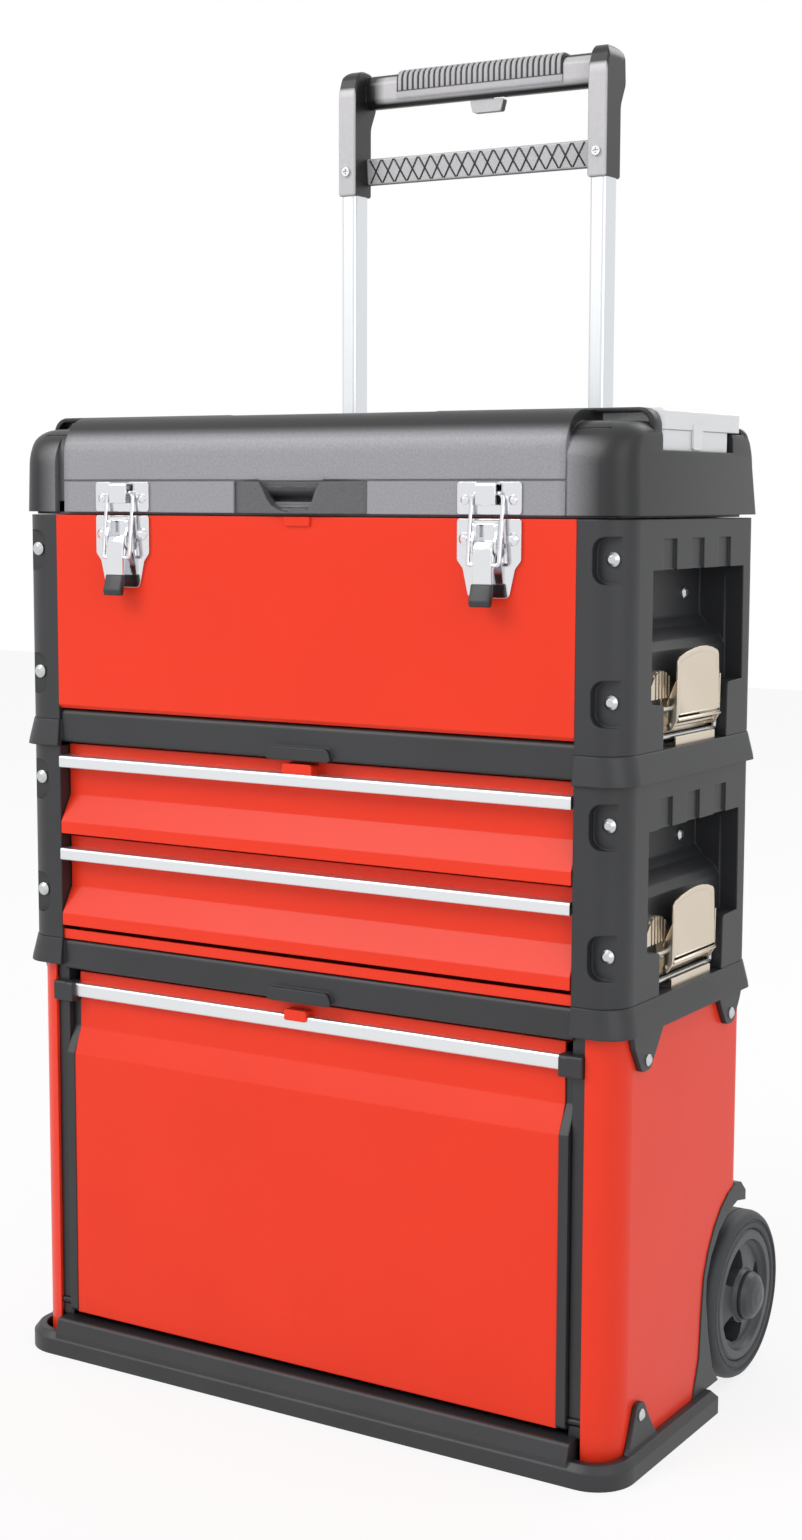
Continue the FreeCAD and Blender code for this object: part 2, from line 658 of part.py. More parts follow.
def make_hinge_pin():
    start = knuckle_spans[0][0] - 1.0
    end = knuckle_spans[-1][1] + 1.0
    pin = cylinder((start, hinge_y, hinge_z), (1, 0, 0), hinge_pin_radius, end - start)
    head = cylinder((end, hinge_y, hinge_z), (1, 0, 0), hinge_radius - 0.6, 2.0)
    return join([pin, head])


def make_top_case():
    low = upper_flange_top + 9.0
    path = [(panel_front + 6.0, box_top), (panel_front, box_top), (panel_front, low + 2.7),
            (panel_front + 2.7, low), (back, low), (back, box_top)]
    wrap = prism(fold(path, sheet), "X", -core_half, core_half)
    side_path = [(panel_front, low + 2.7), (panel_front, box_top), (back, box_top), (back, low),
                 (panel_front + 2.7, low)]
    side = prism(side_path, "X", core_half - sheet, core_half)
    tab = prism([(-11.0, box_top - 6.5, 2.0), (11.0, box_top - 6.5, 2.0), (11.0, box_top), (-11.0, box_top)],
                "Y", panel_front - 1.8, panel_front + 1.0)
    return join([wrap, tab] + both_sides(side) + make_knuckles("box"))


# Lid: moulded shell with grooves, a scoop under its front edge and pits for what lies in it
pit_inner_x = 91.0
pit_half = 57.5
pit_floor = 700.0
pit_back = 76.0
grip_pit_half = 86.0
grip_floor = 707.0
lid_levels = [(lid_bottom, lid_half, -110.4, 105.0), (682.0, lid_half - 0.6, -110.0, 101.0),
              (699.0, lid_half - 1.4, -108.8, 98.2), (707.0, lid_half - 5.0, -107.0, 94.5),
              (714.0, lid_half - 11.5, -104.2, 88.5), (720.5, lid_half - 21.0, -100.0, 81.5),
              (725.0, lid_half - 32.0, -95.0, 75.0), (lid_top, lid_half - 47.0, -86.0, 68.0)]
lid_body_half = 211.0
lid_groove_width = 8.5
lid_groove_depth = 3.0


def lid_plan(half, front, rear):
    return rounded_plan(half, front, rear, front_corner, rear_corner)


def lid_groove(x0, x1, depth):
    # A slot up the front face that follows its curve and runs out over the top
    path = [(level[2] + depth, level[0]) for level in lid_levels[:-2]]
    path += [(-74.0, lid_levels[-3][0] + 1.0), (-74.0, lid_top + 3.0), (-116.0, lid_top + 3.0),
             (-116.0, lid_bottom - 1.0)]
    path[0] = (path[0][0], lid_bottom - 1.0)
    return prism(path, "X", x0, x1)


def lid_outside():
    # Rounded shell, a taller body between the grooves, and the rims before and behind the organisers
    outer = loft([(lid_plan(half, front, rear), "Z", z) for z, half, front, rear in lid_levels])
    profile = [(level[2], level[0]) for level in lid_levels[:5]]
    profile += [(-99.5, 721.5), (-94.0, 726.0, 4.0), (-84.0, lid_top), (68.0, lid_top), (75.0, 725.0),
                (81.5, 720.5)]
    profile += [(level[3], level[0]) for level in lid_levels[4::-1]]
    body = prism(profile, "X", -lid_body_half, lid_body_half)
    rim_end = lid_half - 0.6
    rim_path = [(pit_inner_x - 3.0, 712.0), (pit_inner_x - 3.0, 728.4), (rim_end - 10.4, 728.4, 12.0),
                (rim_end, 712.0)]
    front_rim = prism(rim_path, "Y", -70.0, -pit_half)
    rear_path = [(60.0, 699.0), (60.0, 713.0), (pit_back, 713.0), (pit_back, 718.0), (84.0, 717.5, 6.0),
                 (92.0, 710.0, 5.0), (98.0, 697.0), (98.0, 690.0), (90.0, 690.0)]
    rear_block = prism(rear_path, "X", pit_inner_x - 3.0, rim_end)
    end_step = box(lid_body_half + lid_groove_width, lid_half + 5.0, -116.0, -70.0, 719.5, 735.0)
    blank = outer.cut(join(both_sides(end_step)))
    return join([blank, body] + both_sides(front_rim) + both_sides(rear_block))


def make_lid_shell():
    cavity_plan = rounded_plan(lid_half - 7.0, -104.0, 95.0, 18.0, 8.0)
    cavity = prism(cavity_plan, "Z", lid_bottom - 1.0, pit_floor - 3.0)
    cavity_half = lid_half - 19.0
    front_cavity = box(-cavity_half, cavity_half, -96.0, -61.0, pit_floor - 5.0, 715.0)
    cuts = [cavity, front_cavity]
    groove = lid_groove(lid_body_half, lid_body_half + lid_groove_width, lid_groove_depth)
    cuts += both_sides(groove)
    cuts.append(box(-lid_body_half, lid_body_half, -115.0, -109.0, 679.2, 681.0))
    cuts.append(box(-55.0, 58.0, -115.0, -108.0, lid_bottom - 1.0, 680.0))
    pit = box(pit_inner_x, lid_half + 5.0, -pit_half, pit_half, pit_floor, 735.0)
    rear_pit = box(pit_inner_x, lid_half + 5.0, -pit_half, pit_back, 713.0, 735.0)
    stub_length = pit_half + pit_back + 8.0
    stub = cylinder((cover_pivot_x, -pit_half - 4.0, cover_pivot_z), (0, 1, 0), 1.75, stub_length)
    cuts += both_sides(pit) + both_sides(rear_pit) + both_sides(stub)
    cuts.append(prism([(-grip_pit_half, -27.0, 8.0), (grip_pit_half, -27.0, 8.0),
                       (grip_pit_half, 46.0, 12.0), (-grip_pit_half, 46.0, 12.0)], "Z", grip_floor, 735.0))
    cuts.append(cylinder((-grip_pit_half - 4.0, grip_pivot_y, grip_pivot_z), (1, 0, 0), 3.06,
                         2.0 * grip_pit_half + 8.0))
    cuts.append(box(knuckle_spans[0][0] - 1.5, knuckle_spans[-1][1] + 4.0, hinge_y - 5.5, 110.0,
                    lid_bottom - 1.0, hinge_z + 4.6))
    shell = lid_outside().cut(join(cuts))
    inner_plan = rounded_plan(core_half - 6.0, -102.5, 94.0, 5.0, 2.0)
    rim = prism(rounded_plan(core_half - 3.0, -105.5, 97.0, 8.0, 4.0), "Z", box_top + 0.2, lid_bottom + 8.0)
    rim = rim.cut(prism(inner_plan, "Z", box_top - 1.0, lid_bottom + 9.0))
    ledge_plan = rounded_plan(lid_half - 6.0, -105.0, 97.0, 18.0, 8.0)
    ledge = prism(ledge_plan, "Z", lid_bottom + 6.0, lid_bottom + 8.0)
    ledge = ledge.cut(prism(inner_plan, "Z", lid_bottom, lid_bottom + 9.0))
    bow = [(-55.0, -108.5), (-40.0, -111.0), (-20.0, -113.2), (0.0, -114.0), (20.0, -113.2), (42.0, -111.0),
           (58.0, -108.5), (58.0, -106.0), (-55.0, -106.0)]
    lip = prism(bow, "Z", lid_bottom, 680.0)
    backing = box(-42.0, 42.0, -105.0, -97.0, lid_bottom, 686.0)
    scoop_path = [(-35.5, 682.0, 5.0), (24.5, 682.0, 5.0), (12.5, 661.0), (11.5, lid_bottom - 3.0),
                  (-11.5, lid_bottom - 3.0), (-12.5, 661.0)]
    slope = [(-120.0, 683.0), (-110.2, 683.0), (-102.0, 659.5), (-102.0, lid_bottom - 3.0),
             (-120.0, lid_bottom - 3.0)]
    scoop = prism(scoop_path, "Y", -120.0, -100.0).common(prism(slope, "X", -40.0, 40.0))
    whole = join([shell, rim, ledge, lip, backing] + make_knuckles("lid"))
    return whole.cut(scoop)


# Small-parts organisers that drop into the lid, one on each side, with hinged covers
organiser_inner_x = 94.0
organiser_outer_x = lid_half - 3.4
organiser_half = 56.0
cover_bottom = 714.0
cover_top = 728.0
cover_front = -57.2
cover_back = 74.0
cover_pivot_x = 97.5
cover_pivot_z = 724.0


def make_organiser_box():
    plan = [(organiser_inner_x, -organiser_half, 3.0), (organiser_outer_x, -organiser_half, 6.0),
            (organiser_outer_x, organiser_half, 6.0), (organiser_inner_x, organiser_half, 3.0)]
    body = prism(plan, "Z", pit_floor, cover_bottom - 0.2)
    cells = []
    width = (organiser_outer_x - organiser_inner_x - 5 * 1.6) / 4.0
    depth = (2.0 * organiser_half - 3 * 1.6) / 2.0
    for column in range(4):
        for row in range(2):
            x0 = organiser_inner_x + 1.6 + column * (width + 1.6)
            y0 = -organiser_half + 1.6 + row * (depth + 1.6)
            cells.append(box(x0, x0 + width, y0, y0 + depth, pit_floor + 1.6, cover_bottom + 1.0))
    return body.cut(join(cells))


def make_organiser_cover():
    plan = [(organiser_inner_x, cover_front, 3.0), (organiser_outer_x + 1.2, cover_front, 6.0),
            (organiser_outer_x + 1.2, cover_back, 6.0), (organiser_inner_x, cover_back, 3.0)]
    body = prism(plan, "Z", cover_bottom, cover_top)
    body = bevel(body, 2.0, lambda p: p.z > cover_top - 0.01)
    hollow = box(organiser_inner_x + 7.0, organiser_outer_x - 0.8, cover_front + 2.0, cover_back - 2.0,
                 cover_bottom - 1.0, cover_top - 2.0)
    edge = organiser_inner_x - 1.0
    relief_path = [(edge, cover_bottom - 1.0), (edge + 8.0, cover_bottom - 1.0), (edge, cover_bottom + 5.0)]
    relief = prism(relief_path, "Y", cover_front - 1.0, cover_back + 1.0)
    tab = prism([(-9.0, cover_bottom - 13.0, 2.0), (6.0, cover_bottom - 13.0, 2.0), (6.0, cover_bottom + 4.0),
                 (-9.0, cover_bottom + 4.0)], "X", organiser_outer_x + 0.3, organiser_outer_x + 2.0)
    stubs = [cylinder((cover_pivot_x, cover_front - 3.0, cover_pivot_z), (0, 1, 0), 1.7, 4.0),
             cylinder((cover_pivot_x, cover_back - 1.0, cover_pivot_z), (0, 1, 0), 1.7, 4.0)]
    return join([body.cut(hollow).cut(relief), tab] + stubs)


# Carry handle that folds into the lid
grip_pivot_y = -14.0
grip_pivot_z = 716.0


def make_carry_handle():
    y0 = grip_pivot_y
    z0 = grip_pivot_z
    leg_path = [(y0 - 6.0, z0 - 6.0, 5.5), (y0 + 6.0, z0 - 6.0, 3.0), (y0 + 36.0, z0 - 5.0),
                (y0 + 36.0, z0 + 5.0), (y0 + 6.0, z0 + 6.0, 3.0), (y0 - 6.0, z0 + 6.0, 5.5)]
    leg = prism(leg_path, "X", 70.0, 82.0)
    stub = cylinder((80.0, y0, z0), (1, 0, 0), 3.0, 8.5)
    bar_path = [(y0 + 34.0, z0 - 8.0, 5.0), (y0 + 54.0, z0 - 8.0, 7.0), (y0 + 54.0, z0 + 8.0, 7.0),
                (y0 + 34.0, z0 + 8.0, 5.0)]
    bar = prism(bar_path, "X", -82.0, 82.0)
    bar = bevel(bar, 4.0, lambda p: abs(p.x) > 81.9 and p.y > y0 + 53.0)
    grooves = [box(x - 1.0, x + 1.0, y0 + 52.6, y0 + 60.0, z0 - 5.0, z0 + 5.0)
               for x in range(-56, 57, 8)]
    return join([bar] + both_sides(leg) + both_sides(stub)).cut(join(grooves))


# Draw latches on the front of the tool box: base, lever with its tip, wire bail, keeper on the lid
front_pivot_y = -116.0
front_pivot_z = 636.5
front_knuckle_y = -119.3
front_knuckle_z = 624.0
front_bar_y = -113.6
front_bar_z = lid_bottom + 14.8
front_wire = 1.5


def make_front_latch_base(x):
    half_path = [(24.5, box_top - 0.2, 2.0), (24.5, 627.0, 3.0), (20.0, 621.5, 4.0), (15.5, 602.0, 4.0)]
    path = [(x + p[0], p[1], p[2]) for p in half_path]
    path += [(x - p[0], p[1], p[2]) for p in half_path[::-1]]
    plate = prism(path, "Y", panel_front - 1.9, panel_front)
    ear_path = [(-111.0, 654.0), (-111.0, 627.0), (-119.6, 632.5, 4.0), (-119.6, 640.0, 3.0),
                (-117.5, 646.0, 3.0), (-117.5, 651.0, 2.0), (-114.0, 654.0)]
    ears = [prism(ear_path, "X", x + offset, x + offset + 1.6) for offset in (8.0, -9.6)]
    strap_path = [(-111.0, 652.4), (-111.0, 654.0), (-115.0, 654.0, 2.0), (-117.5, 650.0, 2.0),
                  (-117.5, 642.4), (-115.9, 642.4), (-115.9, 649.4, 1.0), (-114.2, 652.4, 1.0)]
    window = box(x - 6.8, x + 6.8, -119.0, -114.6, 641.0, 650.8)
    strap = prism(strap_path, "X", x - 9.6, x + 9.6).cut(window)
    pin = cylinder((x - 10.2, front_pivot_y, front_pivot_z), (1, 0, 0), 1.8, 20.4)
    heads = [rivet((x + offset, panel_front - 1.9, 641.0), (0, -1, 0), 4.2, 2.6) for offset in (-18.4, 18.4)]
    return join([plate, pin, strap] + ears + heads)


def make_front_lever(x):
    arm_path = [(-116.0, 640.1), (-119.0, 640.1, 2.0), (-121.8, 630.0, 8.0), (-121.6, 612.0, 10.0),
                (-124.4, 601.0, 2.0), (-123.2, 597.5, 1.5), (-121.0, 598.0, 2.0), (-118.6, 609.0, 8.0),
                (-117.8, 620.0), (-113.8, 632.0), (-112.6, 636.5)]
    arm = prism(arm_path, "X", x - 7.4, x + 7.4)
    tip = prism([(-119.2, 611.0), (-122.6, 611.0, 1.0), (-126.0, 600.0, 2.5), (-124.6, 595.8, 1.5),
                 (-120.8, 596.6, 2.0)], "X", x - 8.0, x + 8.0)
    boss = cylinder((x - 7.4, front_pivot_y, front_pivot_z), (1, 0, 0), 3.6, 14.8)
    hollow_path = [(-105.0, 632.0), (-114.5, 632.0), (-119.8, 630.0), (-120.0, 612.0), (-105.0, 612.0)]
    hollow = prism(hollow_path, "X", x - 5.8, x + 5.8)
    pivot_hole = cylinder((x - 9.0, front_pivot_y, front_pivot_z), (1, 0, 0), 1.85, 18.0)
    knuckle = cylinder((x - 7.4, front_knuckle_y, front_knuckle_z), (1, 0, 0), 3.4, 14.8)
    knuckle_hole = cylinder((x - 9.0, front_knuckle_y, front_knuckle_z), (1, 0, 0), front_wire + 0.05, 18.0)
    return join([arm, tip, boss, knuckle]).cut(join([hollow, pivot_hole, knuckle_hole]))


def make_front_bail(x):
    points = [(x - 5.0, front_knuckle_y, front_knuckle_z), (x - 12.0, front_knuckle_y, front_knuckle_z),
              (x - 12.0, front_bar_y, front_bar_z - 2.5), (x - 9.5, front_bar_y, front_bar_z),
              (x + 9.5, front_bar_y, front_bar_z), (x + 12.0, front_bar_y, front_bar_z - 2.5),
              (x + 12.0, front_knuckle_y, front_knuckle_z), (x + 5.0, front_knuckle_y, front_knuckle_z)]
    return wire(points, front_wire)


def make_lid_keeper(x):
    low = lid_bottom + 0.5
    high = lid_bottom + 22.0
    plate = prism([(x - 24.5, low, 2.0), (x + 24.5, low, 2.0), (x + 24.5, high, 2.0), (x - 24.5, high, 2.0)],
                  "Y", -112.0, -110.4)
    tongue_path = [(-111.0, high), (-117.6, high, 3.0), (-117.6, low + 6.0, 1.0), (-115.8, low + 6.0),
                   (-115.8, high - 1.6, 1.0), (-111.0, high - 1.6)]
    tongue = prism(tongue_path, "X", x - 7.5, x + 7.5)
    heads = [rivet((x + offset, -112.0, low + 9.5), (0, -1, 0), 3.2, 1.8) for offset in (-18.4, 18.4)]
    return join([plate, tongue] + heads)


# Side latches that hold each box down on the one below: base, plate lever, wire bail, catch
side_pivot_x = cap_half - 8.0
side_pivot_rise = 14.0
side_knuckle_x = cap_half - 7.5
side_knuckle_rise = 26.0
side_bar_rise = 6.5
side_wire = 1.8
side_front = -20.7
side_back = 49.0
side_plate_x = cap_half - 3.4
bail_front = -38.0


def make_side_latch_base(low):
    plate = prism([(side_front - 5.0, low + 8.0, 3.0), (side_back + 5.0, low + 8.0, 3.0),
                   (side_back + 5.0, low + 37.0, 6.0), (side_front - 5.0, low + 37.0, 6.0)],
                  "X", recess_floor, recess_floor + 1.4)
    ear_path = [(recess_floor + 0.5, low + 9.0), (side_pivot_x + 2.6, low + 11.0, 3.0),
                (side_pivot_x + 2.6, low + 17.0, 3.0), (recess_floor + 0.5, low + 21.0)]
    ears = [prism(ear_path, "Y", y, y + 1.6) for y in (side_front + 0.6, side_back - 2.2)]
    pin = cylinder((side_pivot_x, side_front - 2.6, low + side_pivot_rise), (0, 1, 0), 1.6,
                   side_back - side_front + 5.2)
    heads = [rivet((recess_floor + 1.4, y, low + 30.0), (1, 0, 0), 3.2, 1.8) for y in (-10.0, 38.0)]
    turns = [math.radians(15.0 * step) for step in range(13)]
    arc = [(-32.0 + 19.0 * math.cos(turn), low + 33.0 + 19.0 * math.sin(turn)) for turn in turns]
    disc = prism(arc, "X", recess_floor, recess_floor + 5.0)
    flutes = [box(recess_floor + 3.0, recess_floor + 6.0, y - 1.2, y + 1.2, low + 32.0, low + 53.0)
              for y in (-42.0, -37.0, -32.0, -27.0, -22.0)]
    return join([plate, pin, disc.cut(join(flutes))] + ears + heads)


def make_side_lever(low):
    x0 = side_plate_x
    x1 = side_plate_x + 1.6
    face = prism([(side_front, low + 17.6, 2.0), (side_front - 1.8, low + 61.0, 4.0), (18.5, low + 67.0, 40.0),
                  (side_back - 3.0, low + 62.0, 4.0), (side_back, low + 17.6, 2.0)], "X", x0, x1)
    back_x = side_pivot_x - 1.8
    ear_path = [(back_x, low + 10.4, 2.0), (side_pivot_x + 2.0, low + 10.4, 3.0), (x1, low + 18.0, 2.0),
                (x1, low + 46.0), (x1 - 2.2, low + 44.0, 4.0), (back_x, low + 31.0, 3.0)]
    ears = [prism(ear_path, "Y", y, y + 1.5) for y in (side_front - 1.5, side_back)]
    toe = prism([(x0, low + 21.0), (x0, low + 18.0), (x1 + 1.2, low + 17.0, 1.0), (x1 + 1.2, low + 19.0, 1.0)],
                "Y", side_front, side_back)
    holes = [cylinder((side_pivot_x, -40.0, low + side_pivot_rise), (0, 1, 0), 1.65, 100.0),
             cylinder((side_knuckle_x, -40.0, low + side_knuckle_rise), (0, 1, 0), side_wire + 0.05, 100.0)]
    return join([face, toe] + ears).cut(join(holes))


def make_side_bail(low):
    top = low + side_knuckle_rise
    bottom = low + side_bar_rise
    y0 = bail_front
    y1 = side_back + 4.2
    upper_x = side_knuckle_x
    lower_x = side_pivot_x
    points = [(upper_x, side_front - 0.4, top), (upper_x, y0 + 2.5, top), (upper_x, y0, top - 2.5),
              (lower_x, y0, bottom + 2.5), (lower_x, y0 + 2.5, bottom), (lower_x, y1 - 2.5, bottom),
              (lower_x, y1, bottom + 2.5), (upper_x, y1, top), (upper_x, side_back + 0.4, top)]
    return wire(points, side_wire)


def make_side_catch(low):
    rear = cap_half - 13.4
    tongue = cap_half - 3.2
    high = low + side_bar_rise
    path = [(rear, low), (tongue, low), (tongue, high, 1.0), (tongue - 1.6, high), (tongue - 1.6, low + 1.2),
            (rear, low + 1.2)]
    return prism(path, "Y", side_front, side_back - 5.0)


# Telescopic pull handle: two flat tubes in guides behind the lower box, and the yoke on top
guide_low = 20.0
guide_high = 330.0
tube_top = 930.0
rod_y = 137.0


def tube_plan(x, grow, radius):
    half = tube_width / 2.0 + grow
    return [(x - half, tube_front - grow, radius), (x + half, tube_front - grow, radius),
            (x + half, tube_back + grow, radius), (x - half, tube_back + grow, radius)]


def make_tube(x):
    outer = prism(tube_plan(x, 0.0, tube_corner), "Z", tube_bottom, tube_top)
    inner = prism(tube_plan(x, -tube_wall, tube_corner - tube_wall), "Z", tube_bottom - 1.0, tube_top + 1.0)
    screw_hole = cylinder((x, tube_front - 3.0, 926.5), (0, 1, 0), 2.0, 8.0)
    return outer.cut(inner).cut(screw_hole)


def make_guide(x):
    sleeve = prism(tube_plan(x, 3.2, 4.0), "Z", guide_low, guide_high)
    wide = tube_plan(x, 5.5, 5.0)
    collar = loft([(tube_plan(x, 3.2, 4.0), "Z", guide_high - 18.0), (wide, "Z", guide_high - 12.0),
                   (wide, "Z", guide_high - 1.0)])
    bore = prism(tube_plan(x, guide_gap, tube_corner + guide_gap), "Z", guide_low + 5.0, guide_high + 1.0)
    web = box(x - 2.5, x + 2.5, back, tube_front - 3.0, guide_low + 10.0, guide_high - 20.0)
    feet = []
    for z0 in (34.0, 268.0):
        feet.append(box(x - 20.0, x + 20.0, back, back + 3.0, z0, z0 + 28.0))
        feet.append(prism([(back + 1.0, z0 + 2.0), (tube_front - 1.0, z0 + 8.0), (tube_front - 1.0, z0 + 20.0),
                           (back + 1.0, z0 + 26.0)], "X", x - 8.0, x + 8.0))
    return join([sleeve, collar, web] + feet).cut(bore)


def make_arm(x):
    path = [(124.0, yoke_bottom, 1.5), (124.0, 988.0, 20.0), (131.0, yoke_top, 12.0),
            (155.0, yoke_top - 1.5, 10.0), (157.0, 978.0, 12.0), (149.0, 962.0, 14.0), (149.0, yoke_bottom, 1.5)]
    arm = prism(path, "X", x - arm_half, x + arm_half)
    arm = bevel(arm, 1.2, lambda p: abs(abs(p.x - x) - arm_half) < 0.01 and p.z > yoke_bottom + 3.0)
    outer = x + math.copysign(arm_half, x)
    inner = x - math.copysign(arm_half, x)
    limit = [(inner, yoke_bottom - 1.0), (inner, yoke_top + 1.0), (outer, yoke_top + 0.2, 12.0),
             (outer, yoke_bottom - 1.0)]
    return arm.common(prism(limit, "Y", 120.0, 160.0))


grip_insert_half = 74.0
link_low = 983.0
link_height = 4.0
button_range = (-11.0, 19.0)


def grip_insert_path():
    return [(142.2, 984.0), (140.2, 982.0), (138.6, 985.0, 2.0), (138.6, 998.5, 6.0), (145.2, 1005.6, 6.0),
            (154.0, 1004.8, 2.0), (154.0, 1001.0), (146.0, 1001.0), (142.2, 996.5)]


def make_grip_insert():
    pad = prism(grip_insert_path(), "X", -grip_insert_half, grip_insert_half)
    cover = prism([(136.0, 988.0), (136.0, 1008.0), (156.0, 1008.0), (156.0, 1004.0), (146.0, 1004.0, 5.0),
                   (139.9, 998.0, 3.0), (139.9, 988.0)], "X", 0.0, 1.6)
    grooves = []
    for step in range(29):
        groove = cover.copy()
        groove.translate(Vector((step - 14) * 4.9 - 0.8, 0, 0))
        grooves.append(groove)
    return pad.cut(Part.Compound(grooves))


def make_yoke():
    grip_path = [(140.2, 983.0, 4.0), (140.2, 997.0, 6.0), (146.0, 1003.5, 5.0), (155.5, 1002.0, 5.0),
                 (156.5, 985.0, 6.0), (151.0, 977.0, 4.0), (145.0, 977.0, 3.0)]
    inner_x = tube_x - arm_half + 0.5
    grip = prism(grip_path, "X", -inner_x, inner_x)
    bar = prism([(143.0, 917.5, 2.0), (141.2, 938.3, 2.0), (148.5, 938.3, 2.0), (148.5, 917.5, 2.0)],
                "X", -inner_x, inner_x)
    bar_back = box(-inner_x + 4.0, inner_x - 4.0, 146.5, 150.0, 920.0, 936.0)
    body = join([grip, bar] + [make_arm(x) for x in (-tube_x, tube_x)]).cut(bar_back)
    channel_low = link_low - 2.0
    channel_high = link_low + 11.0
    sockets = [prism(tube_plan(x, 0.02, tube_corner), "Z", yoke_bottom - 1.0, tube_top + 0.2)
               for x in (-tube_x, tube_x)]
    wells = [box(x - 4.5, x + 4.5, 132.5, 149.7, tube_top - 1.0, channel_high) for x in (-tube_x, tube_x)]
    channel = box(-tube_x - 4.5, tube_x + 4.5, 143.3, 149.7, channel_low, channel_high)
    pocket = box(button_range[0] - 0.5, button_range[1] + 0.5, 146.2, 153.3, 970.0, channel_low)
    screws = [cylinder((x, 120.0, 926.5), (0, 1, 0), 2.0, 10.0) for x in (-tube_x, tube_x)]
    pad = prism(grip_insert_path(), "X", -grip_insert_half, grip_insert_half)
    return body.cut(join(sockets + wells + [channel, pocket] + screws)).cut(pad)


def make_handle_screw(x):
    head = cylinder((x, 124.0, 926.5), (0, -1, 0), 3.6, 1.8)
    shank = cylinder((x, 124.0, 926.5), (0, 1, 0), 1.98, 5.5)
    slot = [box(x - 2.2, x + 2.2, 121.0, 123.2, 926.0, 927.0),
            box(x - 0.5, x + 0.5, 121.0, 123.2, 924.3, 928.7)]
    return join([head, shank]).cut(join(slot))


def make_release_button():
    x0, x1 = button_range
    pad = prism([(x0, 976.5, 1.5), (x1, 976.5, 1.5), (x1 - 2.5, 967.0, 2.0), (x0 + 2.5, 967.0, 2.0)],
                "Y", 146.6, 152.9)
    stem = box(-9.0, 9.0, 146.8, 149.3, 974.0, link_low)
    return join([pad, stem])


def make_release_rods():
    high = link_low + link_height
    link = box(-tube_x - 4.0, tube_x + 4.0, 143.7, 149.3, link_low, high)
    ends = [box(x - 4.0, x + 4.0, 133.0, 146.0, link_low, high) for x in (-tube_x, tube_x)]
    rods = []
    for x in (-tube_x, tube_x):
        rods.append(box(x - 1.8, x + 1.8, rod_y - 1.8, rod_y + 1.8, tube_bottom + 16.0, link_low + 2.0))
    return join([link] + ends + rods)


def make_lower_rivets():
    claw_face = shell_half + 4.3
    spots = [((claw_face, -66.5, 290.5), (1, 0, 0)), ((claw_face, 72.5, 296.0), (1, 0, 0)),
             ((shell_half + claw_thickness, -67.8, 40.0), (1, 0, 0))]
    for z in (48.0, 282.0):
        for offset in (-14.0, 14.0):
            spots.append(((tube_x + offset, back + 3.0, z), (0, 1, 0)))
    heads = [rivet(point, direction, 4.2, 2.4) for point, direction in spots]
    return heads + [mirror_x(head) for head in heads]


def save_pair(name, shape):
    save(name + "_right", shape)
    save(name + "_left", mirror_x(shape))


def save_lower_box():
    save("base_tray", make_base_tray())
    save("lower_shell", make_lower_shell())
    save("lower_frame", make_lower_frame())
    save("wheel_arches", both_sides(make_wheel_arch()))
    save("axles", both_sides(make_axle()))
    save("handle_guides", [make_guide(tube_x), make_guide(-tube_x)])
    save("lower_rivets", make_lower_rivets())
    save("lower_catches", both_sides(make_side_catch(lower_flange_top)))
    save_pair("wheel_rim", make_wheel_rim())
    save_pair("wheel_tyre", make_wheel_tyre())
    save("bin_pins", make_bin_pins())
    save("bin_front", make_bin_front())
    save("bin_bar", make_bin_bar())
    save("bin_cheeks", make_bin_cheeks())
    save("bin_tray", make_bin_tray())


def save_drawer_box():
    save("mid_case", make_mid_case())
    save("drawer_runners", make_drawer_runners())
    save("mid_caps", both_sides(make_cap(case_bottom, case_top)))
    save("mid_frame", make_band(upper_flange_top, upper_flange_top - 17.3, upper_flange_top + 8.0))
    save("mid_rivets", make_cap_rivets(case_bottom, case_top))
    save("mid_catches", both_sides(make_side_catch(upper_flange_top)))
    for name, shift in zip(("upper", "lower"), drawer_shifts):
        save("drawer_bar_" + name, make_drawer_bar(shift))
        save("drawer_front_" + name, make_drawer_front(shift))
        save("drawer_tray_" + name, make_drawer_tray(shift))


def save_tool_box():
    save("top_case", make_top_case())
    save("top_caps", both_sides(make_cap(upper_flange_top, box_top)))
    save("top_rivets", make_cap_rivets(upper_flange_top, box_top))
    save("hinge_pin", make_hinge_pin())
    save("lid_shell", make_lid_shell())
    save("organiser_boxes", both_sides(make_organiser_box()))
    save_pair("organiser_cover", make_organiser_cover())
    save("carry_handle", make_carry_handle())


def save_latches():
    save("lid_keepers", both_sides(make_lid_keeper(front_latch_x)))
    save("front_latch_bases", both_sides(make_front_latch_base(front_latch_x)))
    save_pair("front_lever", make_front_lever(front_latch_x))
    save_pair("front_bail", make_front_bail(front_latch_x))
    for level, low in (("mid", lower_flange_top), ("top", upper_flange_top)):
        save(level + "_latch_bases", both_sides(make_side_latch_base(low)))
        save_pair(level + "_lever", make_side_lever(low))
        save_pair(level + "_bail", make_side_bail(low))


def save_pull_handle():
    save("handle_tubes", [make_tube(tube_x), make_tube(-tube_x)])
    save("handle_yoke", make_yoke())
    save("grip_insert", make_grip_insert())
    save("handle_screws", [make_handle_screw(tube_x), make_handle_screw(-tube_x)])
    save("release_button", make_release_button())
    save("release_rods", make_release_rods())


os.makedirs("parts", exist_ok=True)
save_lower_box()
save_drawer_box()
save_tool_box()
save_latches()
save_pull_handle()
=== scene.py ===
import bpy
import bmesh
import json
import math
from mathutils import Matrix, Vector


